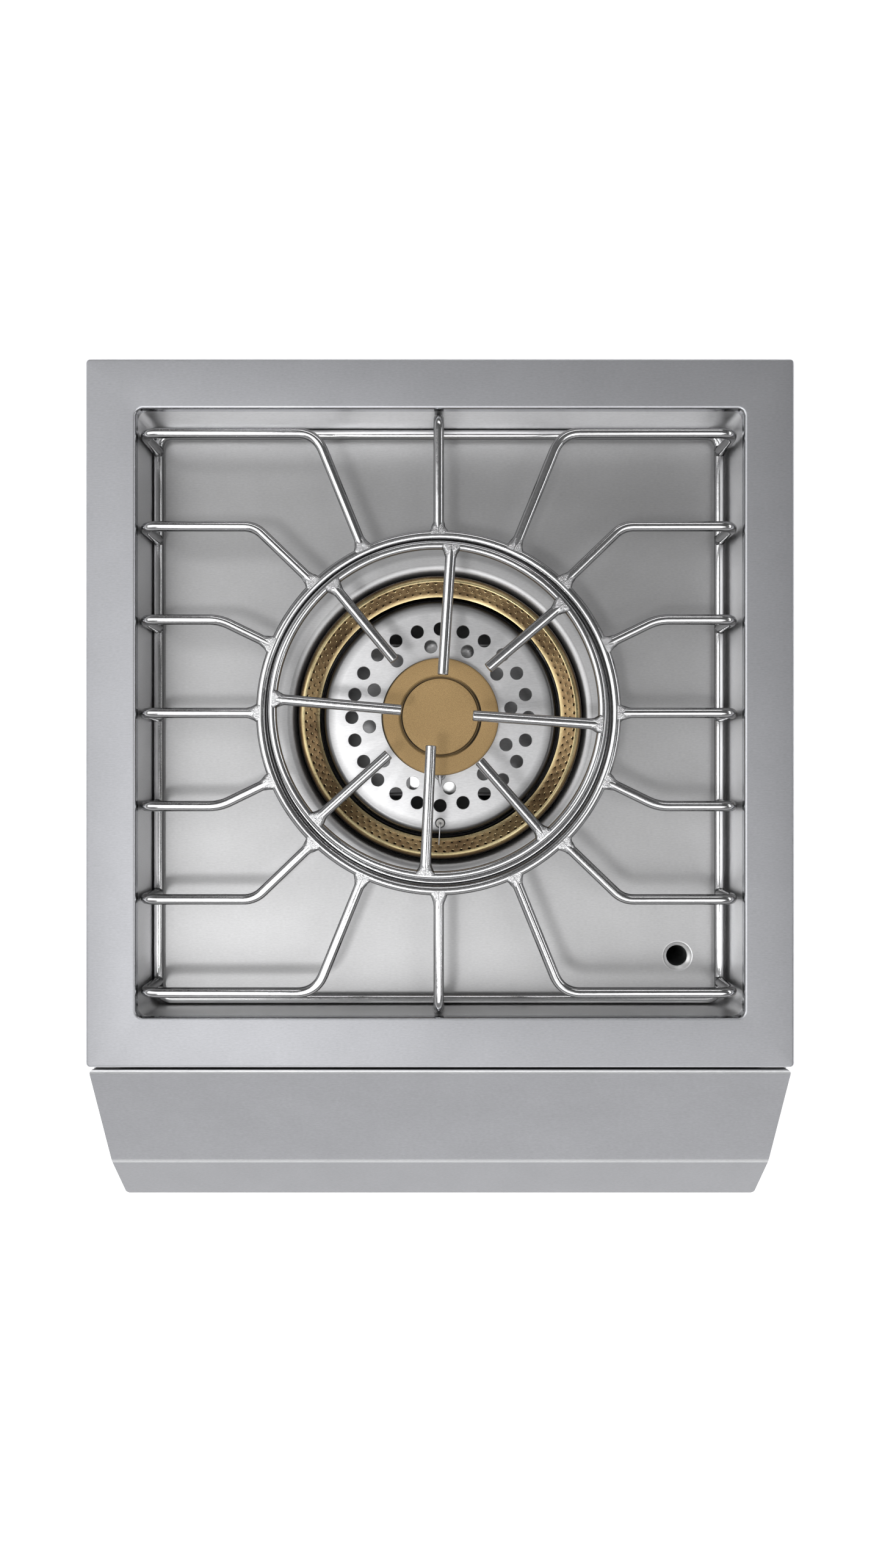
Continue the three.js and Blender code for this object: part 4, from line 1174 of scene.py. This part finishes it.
def build_fascia():
    """The sloped front sheet, with rounded folds and corners."""
    half = (fascia_high[0] - fascia_low[0]) / 2
    back = fascia_high[1]
    top = fascia_high[2]
    front = fascia_low[1]
    bottom = fascia_low[2]
    fold = (back - 85.3 * MM, top - 54.8 * MM)
    corners = [(back, top - 9 * MM), (back, top), fold, (front, bottom), (front + 18 * MM, bottom)]
    line = finely(np.array(bent(corners, [4.5 * MM, 3 * MM, 2.2 * MM], 8)), 1.5 * MM)
    corner = 6 * MM
    top_corner = 4 * MM
    length_per_height = 1.414
    rings = []
    for outer, inner in zip(line, beside(line, SHEET)):
        rise = max(0.0, corner - (outer[1] - bottom) * length_per_height)
        trim = corner - math.sqrt(corner**2 - rise**2)
        rise = max(0.0, top_corner - (back - outer[0]))
        trim += top_corner - math.sqrt(top_corner**2 - rise**2)
        width = half - trim
        ends = ((-width, outer), (width, outer), (width, inner), (-width, inner))
        rings.append(np.array([(x, *point) for x, point in ends]))
    skin = loft(rings, closed=False)
    piece("fascia_sheet", skin, "housing", "satin_steel", ["fascia"], MATERIALS["fascia_steel"], 30)


def screw_heads(name, places, direction):
    """Pan-head screws with cross slots, all facing one way."""
    dome = placed((0, 0), (3.9, -0.3), (3.9, 0.5), (3.6, 1.1), (2.9, 1.6), (1.6, 1.9), (0.3, 2.0))
    arm, thin, low, high = 2.1 * MM, 0.45 * MM, 0.9 * MM, 3 * MM
    domes = [aimed(turned(dome, (0, 0), 32, False), place, direction) for place in places]
    heads = piece(name, joined(*domes), "housing", "polished_steel")
    for half_x, half_y in ((arm, thin), (thin, arm)):
        blade = block((-half_x, -half_y, low), (half_x, half_y, high))
        cut(heads, joined(*[aimed(blade, place, direction) for place in places]))


def build_control_panel():
    """The panel with its bezels, marks and screws."""
    low, high = span("control_panel")[:2]
    front = low[1]
    depth = (front - 4 * MM, front + 4 * MM)
    corners = [(front + 16 * MM, high[2]), (front, high[2]), (front, low[2]), (front + 16 * MM, low[2])]
    skin = folded(corners, 3 * MM, SHEET, low[0], high[0], "x")
    panel = piece("panel_sheet", skin, "housing", "satin_steel", ["control_panel"], MATERIALS["box_steel"])
    button = span("igniter_button")[2]
    holes = []
    bezel = placed(
        (0, front),
        *((25.6, 0), (31, 0), (31, -0.6), (30.4, -1.3), (28.6, -1.9), (26.6, -1.9), (25.6, -1.2)),
    )
    for side in ("left", "right"):
        knob = span(f"knob_{side}")[2]
        holes.append(facing(bar(6.5 * MM, *depth), (knob[0], knob[2]), 40))
        skin = facing(bezel, (knob[0], knob[2]), 96, True)
        piece(f"knob_bezel_{side}", skin, "housing", "polished_steel")
        piece(f"panel_marks_{side}", dial_marks(knob, front), "housing", "black_plastic")
    holes.append(facing(bar(8.6 * MM, *depth), (button[0], button[2]), 48))
    cut(panel, joined(*holes))
    ring = placed((0, front), (8.5, 0), (12, 0), (12, -0.8), (11, -1.6), (9.2, -1.8), (8.5, -1.2))
    piece("button_bezel", facing(ring, (button[0], button[2]), 64, True), "housing", "polished_steel")
    spark = [(-3, 30), (2.6, 30), (0.6, 25.5), (3.6, 25.5), (-2.6, 17), (-0.6, 22.6), (-3.6, 22.6)]
    outline = placed((button[0], button[2]), *spark)
    piece("spark_mark", prism(outline, front - 0.12 * MM, front, "y"), "housing", "black_plastic")
    places = [(x * 238 * MM, front, z) for x in (-1, 1) for z in (low[2] + 9 * MM, high[2] - 9 * MM)]
    screw_heads("panel_screws", places, (0, -1, 0))


def dial_marks(knob, front):
    """A dot for off and a tapering arc from high to low round one knob."""
    mark = (front - 0.12 * MM, front)
    dot = arc((knob[0], knob[2] + 36 * MM), 1.6 * MM, 0, 345, 23)
    inner = arc((knob[0], knob[2]), 34.2 * MM, 60, -170, 46)
    outer = []
    for step, degrees in enumerate(np.linspace(-170, 60, 47)):
        radius = (34.6 + 3.2 * step / 46) * MM
        angle = math.radians(degrees)
        outer.append((knob[0] + radius * math.cos(angle), knob[2] + radius * math.sin(angle)))
    return joined(prism(dot, *mark, "y"), prism([*inner, *outer], *mark, "y"))


def build_knobs():
    """Turned metal knobs with a fluted grip, a skirt and an inlaid pointer."""
    flutes = 36
    flute_depth = 0.022
    for side in ("left", "right"):
        low, high, middle = span(f"knob_{side}")
        front, back = low[1], high[1]
        skirt = (high[0] - low[0]) / 2
        profile = [
            *placed((0, front), (0.5, 4), (4.6, 4)),
            (4.6 * MM, back),
            *placed((skirt, back), (-0.5, 0), (0, -0.5), (0, -3.0), (-0.7, -3.8)),
            *placed((0, back), (21.7, -4.4), (21.2, -5.2), (21.1, -6.4), (21.0, -7.2)),
            *placed((0, front), (20.6, 5), (20.4, 4), (20.2, 2.6)),
            *arc((18.2 * MM, front + 2.0 * MM), 2.0 * MM, 0, -90, 6),
            *placed((0, front), (17.2, 0.1), (16.7, 0.5), (0.5, 0.5)),
        ]
        verts, faces = facing(profile, (0, 0), 216)
        grip = (verts[:, 1] > front + 3.5 * MM) & (verts[:, 1] < back - 6.8 * MM)
        grip &= np.hypot(verts[:, 0], verts[:, 2]) > 10 * MM
        turn = np.arctan2(verts[:, 2], verts[:, 0])
        flute = np.where(grip, 1 - flute_depth * (0.5 + 0.5 * np.cos(flutes * turn)), 1)
        verts = verts * np.stack([flute, np.ones(len(verts)), flute], 1) + [middle[0], 0, middle[2]]
        body = f"knob_{side}"
        knob = piece(f"knob_grip_{side}", (verts, faces), body, "knob_metal", [body])
        groove_low = (middle[0] - 1 * MM, front - 1 * MM, middle[2] + 7.8 * MM)
        groove_high = (middle[0] + 1 * MM, front + 1.1 * MM, middle[2] + 18.2 * MM)
        cut(knob, block(groove_low, groove_high))
        inlay_low = (middle[0] - 0.95 * MM, front + 0.45 * MM, middle[2] + 7.9 * MM)
        inlay_high = (middle[0] + 0.95 * MM, front + 1.05 * MM, middle[2] + 16.5 * MM)
        inlay = block(inlay_low, inlay_high)
        piece(f"knob_pointer_{side}", inlay, body, "black_plastic", bevel=0.15 * MM)


def build_button():
    """The ignition button and the module behind it."""
    low, high, middle = span("igniter_button")
    radius = (high[0] - low[0]) / 2
    front = low[1]
    profile = [
        (0.4 * MM, high[1]),
        (radius, high[1]),
        (radius, front + 1.4 * MM),
        *arc((radius - 1.4 * MM, front + 1.4 * MM), 1.4 * MM, 0, -90, 6),
        (radius - 2.6 * MM, front + 0.25 * MM),
        (0.4 * MM, front + 0.7 * MM),
    ]
    place = (middle[0], middle[2])
    piece("push_button", facing(profile, place), "button", "black_plastic", ["igniter_button"])
    low, high, middle = span("ignition_module")
    skin = block(low, high)
    module = piece("spark_module", skin, "housing", "black_plastic", ["ignition_module"], bevel=MM)
    socket = bar(8.6 * MM, low[1] - 2 * MM, low[1] + 10 * MM)
    cut(module, facing(socket, (middle[0], middle[2]), 48))
    pin = turned(bar(1.5 * MM, 0, 6 * MM), (0, 0), 20, False)
    pins = [aimed(pin, (x * MM, high[1] - MM, middle[2]), (0, 1, 0)) for x in (-8, 0, 8)]
    piece("module_pins", joined(*pins), "housing", "fitting_brass", bevel=0.3 * MM)


def build_control_sides():
    """The side plates of the control box, each with a screwed flange against the casing."""
    front = deck_low[1] - 1 * MM
    panel_back = panel_low[1] - 3 * MM
    shelf = fascia_low[2] + SHEET + 0.5 * MM
    fold = (fascia_high[1] - 85.3 * MM, fascia_high[2] - 54.8 * MM)
    upper_slope = 0.6424

    def under_slope(y):
        """Height of the fascia's underside, less a small gap."""
        if y > fold[0]:
            return fascia_high[2] - (fascia_high[1] - y) * upper_slope - 2.4 * MM
        return fold[1] - (fold[0] - y) - 2.9 * MM

    tip = fascia_low[1] + 11 * MM
    outline = [
        (front, 3 * MM),
        (front, fascia_high[2] - 9.5 * MM),
        (fascia_high[1] - 11 * MM, fascia_high[2] - 9.5 * MM),
        (fold[0] + MM, under_slope(fold[0] + MM)),
        (tip, under_slope(tip)),
        (tip, shelf),
        (panel_back, shelf),
        *arc((panel_back + 5 * MM, 8 * MM), 5 * MM, 180, 270, 6),
    ]
    steel = MATERIALS["box_steel"]
    for side, word in SIDES:
        low, high = span(f"control_side_{word}")[:2]
        outer = high[0] if side > 0 else low[0]
        sheet = sorted((outer, outer - side * SHEET))
        inner = side * 223 * MM
        skin = prism(outline, *sheet, "x")
        nodes = [f"control_side_{word}"]
        piece(f"box_side_{word}", skin, "housing", "satin_steel", nodes, steel, bevel=0.25 * MM)
        flange = sorted((inner, outer - side * SHEET))
        skin = block((flange[0], front - SHEET, 24 * MM), (flange[1], front, 231 * MM))
        piece(f"box_flange_{word}", skin, "housing", "satin_steel", material=steel, bevel=0.25 * MM)
        places = [(side * 243.5 * MM, front - SHEET, z * MM) for z in (40, 128, 215)]
        screw_heads(f"flange_screws_{word}", places, (0, -1, 0))


def build_casing():
    """The wrap round the back and sides, with slots, folded corners and screws, and the base."""
    low, high = span("casing_wrap")[:2]
    corners = [(low[0], low[1]), (low[0], high[1]), (high[0], high[1]), (high[0], low[1])]
    skin = folded(corners, 3.5 * MM, -SHEET, low[2], high[2], "z")
    wrap = piece("casing_sheet", skin, "housing", "galvanised", ["casing_wrap"])
    notch_back = deck_low[1] + 14.3 * MM
    notch_low = DECK_TOP - 18.3 * MM
    notch = block((low[0] - MM, low[1] - MM, notch_low), (high[0] + MM, notch_back, high[2] + MM))
    cut(wrap, notch)
    tools = []
    wall = 4 * MM
    vent_z = 124 * MM
    for offset in (-120, -40, 40, 120):
        along = (deck_middle[1] + offset * MM, vent_z)
        for x in (low[0], high[0]):
            tools.append(slot_hole(along, 30 * MM, 4 * MM, (x - wall, x + wall), "x"))
        rear = (offset * MM, vent_z)
        tools.append(slot_hole(rear, 30 * MM, 4 * MM, (high[1] - wall, high[1] + wall), "y"))
    inlet = span("gas_inlet")[2]
    tools.append(facing(bar(13 * MM, high[1] - wall, high[1] + wall), (inlet[0], inlet[2]), 48))
    cut(wrap, joined(*tools))
    rows = [14 * MM, 70 * MM, 180 * MM, 222 * MM]
    back = [(x * (high[0] - 14 * MM), high[1], z) for x in (-1, 1) for z in rows]
    screw_heads("casing_screws_back", back, (0, 1, 0))
    for side, word in SIDES:
        near = deck_low[1] + 24 * MM
        far = high[1] - 20 * MM
        places = [(side * high[0], y, z) for y in (near, far) for z in (14 * MM, 180 * MM)]
        screw_heads(f"casing_screws_{word}", places, (side, 0, 0))
    low, high = span("casing_base")[:2]
    corners = [(low[0], high[2]), (low[0], low[2]), (high[0], low[2]), (high[0], high[2])]
    skin = folded(corners, 3.5 * MM, SHEET, low[1], high[1], "y")
    piece("base_sheet", skin, "housing", "galvanised", ["casing_base"])


def build_tray():
    """The drip tray: a pan with round corners behind a front plate with a folded grip."""
    low, high = span("drip_tray")[:2]
    front = panel_low[1] + 1 * MM
    half = 200 * MM
    floor = SHEET + 0.3 * MM
    top = floor + 26 * MM
    pan_front = front + SHEET - 0.1 * MM
    depth = (high[1] - pan_front) / 2
    centre = (0, pan_front + depth)
    bend = 4 * MM

    def pan(inset, corner, z):
        return rounded_square(centre, half - inset, depth - inset, corner, z, 8, 8)

    outside = [(bend - x, floor + bend - z) for x, z in arc((0, 0), bend, 90, 0, 6)]
    inside = [(bend - x, floor + bend - z) for x, z in arc((0, 0), bend - SHEET, 0, 90, 6)]
    rings = [pan(inset, 9 * MM - inset, z) for inset, z in outside]
    rings += [pan(0, 9 * MM, top), pan(SHEET, 9 * MM - SHEET, top)]
    rings += [pan(inset, 9 * MM - inset, z) for inset, z in inside]
    piece("tray_pan", loft(rings, closed=False), "tray", "galvanised", ["drip_tray"])
    corners = [*placed((front, 0), (-12, 10), (-12, 4), (0, 4)), (front, panel_low[2] - 1 * MM)]
    skin = folded(corners, 2.4 * MM, -SHEET, low[0], high[0], "x")
    piece("tray_front", skin, "tray", "satin_steel", material=MATERIALS["box_steel"])


def air_windows(x, mouth, z, radius):
    """Cutters for the two facing air windows behind a tube's mouth."""
    tools = []
    for wall in (x - radius, x + radius):
        middle = (mouth + 13 * MM, z)
        tools.append(slot_hole(middle, 7 * MM, 5.9 * MM, (wall - 6 * MM, wall + 6 * MM), "x"))
    return tools


def build_burner_pipes():
    """Mixing tubes, their air shutters, the ring's channel and the centre burner."""
    radius = 14 * MM
    mouth = -222 * MM
    height = 95 * MM
    middle_y = BURNER[1]
    ring_top = head_low[2] - 0.3 * MM
    aside = 100 * MM
    left = [(-aside, mouth, height), (-aside, middle_y, height), (-aside, middle_y, ring_top - 13 * MM)]
    right = [(aside, mouth, height), (aside, middle_y - aside, height), (0, middle_y - 14 * MM, height)]
    right += [(0, middle_y, height + 26 * MM), (0, middle_y, WELL_FLOOR - 20.3 * MM)]
    channel = placed(
        (0, ring_top),
        *((91, -16), (108, -16), (109, -15), (109, 0), (105.5, 0)),
        *((105.5, -12), (95, -12), (95, 0), (91, 0)),
    )
    piece("ring_channel", turned(channel, BURNER, 128), "housing", "cast_iron", ["ring_burner_base"])
    for word, path, x in (("ring", left, -aside), ("centre", right, aside)):
        line = bent(path, [22 * MM] * 3)
        nodes = ["centre_mixing_tube"] if word == "centre" else []
        tube = piece(f"{word}_tube", sweep(line, radius, 40), "housing", "cast_iron", nodes)
        cut(tube, facing(bar(12 * MM, mouth - 5 * MM, mouth + 45 * MM), (x, height), 40))
        cut(tube, joined(*air_windows(x, mouth, height, radius)))
    for word in ("left", "right"):
        low, high, middle = span(f"air_shutter_{word}")
        start, end = low[1], high[1]
        outside = (high[0] - low[0]) / 2
        profile = [
            (radius + 0.6 * MM, start),
            *placed((outside, start), (-0.3, 0), (0, 0.4)),
            *placed((outside, end), (0, -0.4), (-0.3, 0)),
            (radius + 0.6 * MM, end),
        ]
        skin = facing(profile, (middle[0], middle[2]), 64, True)
        nodes = [f"air_shutter_{word}"]
        shutter = piece(f"shutter_sleeve_{word}", skin, f"shutter_{word}", "galvanised", nodes)
        cut(shutter, joined(*air_windows(middle[0], mouth, height, radius)))
    head = placed(
        (0, WELL_FLOOR),
        *((2, -20), (13, -20), (14, -13), (17, -9), (33.5, -1)),
        *((35.4, 1), (36, 3.6), (35.2, 4.5), (2, 4.5)),
    )
    piece("centre_head", turned(head, BURNER, 96, False), "housing", "galvanised", ["centre_burner"])
    plate_low = (-23.4 * MM, middle_y - 60 * MM, WELL_FLOOR - 8 * MM)
    plate_high = (25.2 * MM, middle_y + 60 * MM, WELL_FLOOR - 6 * MM)
    plate = block(plate_low, plate_high)
    steel = MATERIALS["plate_steel"]
    piece("centre_plate", plate, "housing", "bracket_steel", material=steel, bevel=0.4 * MM)


def build_bracket():
    """The channel under the burner, with openings for the tubes."""
    low, high = span("burner_bracket")[:2]
    floor = low[2]
    y = BURNER[1]
    corners = [(y + 60 * MM, high[2]), (y + 60 * MM, floor), (y - 60 * MM, floor), (y - 60 * MM, high[2])]
    skin = folded(corners, 3.5 * MM, -SHEET, low[0], high[0], "x")
    bracket = piece("burner_channel", skin, "housing", "bracket_steel", ["burner_bracket"])
    opening = bar(18 * MM, floor - 5 * MM, floor + 5 * MM)
    tools = [turned(opening, (x, y), 64, False) for x in (0, -100 * MM)]
    tools.append(turned(bar(111 * MM, floor + 3 * MM, floor + 40 * MM), (0, y), 96, False))
    for tool in tools:
        cut(bracket, tool)


def build_gas_train():
    """Manifold, taps, stems and the threaded inlet at the back."""
    low, high, middle = span("manifold")
    y, z, radius = low[1] + 9 * MM, middle[2], 9 * MM
    inlet_low, inlet_high, inlet = span("gas_inlet")
    path = [(low[0], y, z), (inlet[0], y, z), (inlet[0], high[1], z)]
    line = bent(path, [24 * MM])
    piece("manifold_pipe", sweep(line, radius, 40), "housing", "galvanised", ["manifold"])
    for word in ("left", "right"):
        low, high, middle = span(f"valve_{word}")
        stem_low, stem_high, stem = span(f"valve_stem_{word}")
        place = (stem[0], stem[2])
        tap_low = (stem[0] - 11 * MM, y - 14 * MM, low[2])
        tap_high = (stem[0] + 11 * MM, y + 10 * MM, high[2])
        front_nut = facing(bar(9 * MM, low[1], y - 14.2 * MM), place, 6)
        back_nut = facing(bar(5 * MM, y + 10.2 * MM, high[1]), place, 6)
        skin = joined(block(tap_low, tap_high), front_nut, back_nut)
        body = piece(f"tap_{word}", skin, "housing", "fitting_brass", [f"valve_{word}"], bevel=0.8 * MM)
        cut(body, facing(bar(4.4 * MM, low[1] - 2 * MM, y - 14 * MM), place, 40))
        profile = [
            *placed((0, stem_low[1]), (0.3, 0), (3.5, 0), (4, 0.5)),
            *placed((0, stem_high[1]), (4, -0.3), (3.7, 0), (0.3, 0)),
        ]
        name = f"stem_{word}"
        skin = facing(profile, place, 48)
        shaft = piece(f"tap_{name}", skin, name, "galvanised", [f"valve_{name}"])
        flat_low = (place[0] - 6 * MM, stem_low[1] - MM, place[1] + 2.2 * MM)
        cut(shaft, block(flat_low, (place[0] + 6 * MM, stem_low[1] + 16 * MM, place[1] + 6 * MM)))
    profile = [(6 * MM, inlet_high[1] - 14 * MM), (10 * MM, inlet_low[1] + 8.6 * MM)]
    thread_start = inlet_low[1] + 11 * MM
    pitch = 1.6 * MM
    while thread_start + pitch < inlet_high[1] - 1.2 * MM:
        for radius, turn in ((9.2, 0.0), (10, 0.35), (10, 0.6)):
            profile.append((radius * MM, thread_start + pitch * turn))
        thread_start += pitch
    profile.extend(placed((0, inlet_high[1]), (9.2, -0.8), (8.8, 0), (6.2, 0), (6, -0.3)))
    place = (inlet[0], inlet[2])
    piece("inlet_nipple", facing(profile, place, 64, True), "housing", "fitting_brass", ["gas_inlet"])
    nut = facing(bar(12.4 * MM, inlet_low[1], inlet_low[1] + 9 * MM), place, 6)
    piece("inlet_nut", nut, "housing", "fitting_brass", bevel=1.0 * MM)


def build_drain_tube():
    """The open pipe under the drain."""
    low, high, middle = span("drain_tube")
    bore = 7.9 * MM
    profile = [
        *placed((bore, low[2]), (0, 0.3), (0.3, 0), (1.2, 0), (1.5, 0.3)),
        (bore + SHEET, high[2]),
        (bore, high[2]),
    ]
    piece("drain_pipe", turned(profile, middle[:2], 64), "housing", "galvanised", ["drain_tube"])


# ---------------------------------------------------------------- whole scene

bpy.context.scene.view_settings.view_transform = "Standard"
add_camera()
add_world()
for light, settings in SOFTBOXES.items():
    add_softbox(light, *settings)
add_floor()
build_deck()
build_well()
build_grate()
build_trivet()
build_ring_head()
build_disc()
build_cap()
build_igniters()
build_fascia()
build_control_panel()
build_knobs()
build_button()
build_control_sides()
build_casing()
build_tray()
build_burner_pipes()
build_bracket()
build_gas_train()
build_drain_tube()
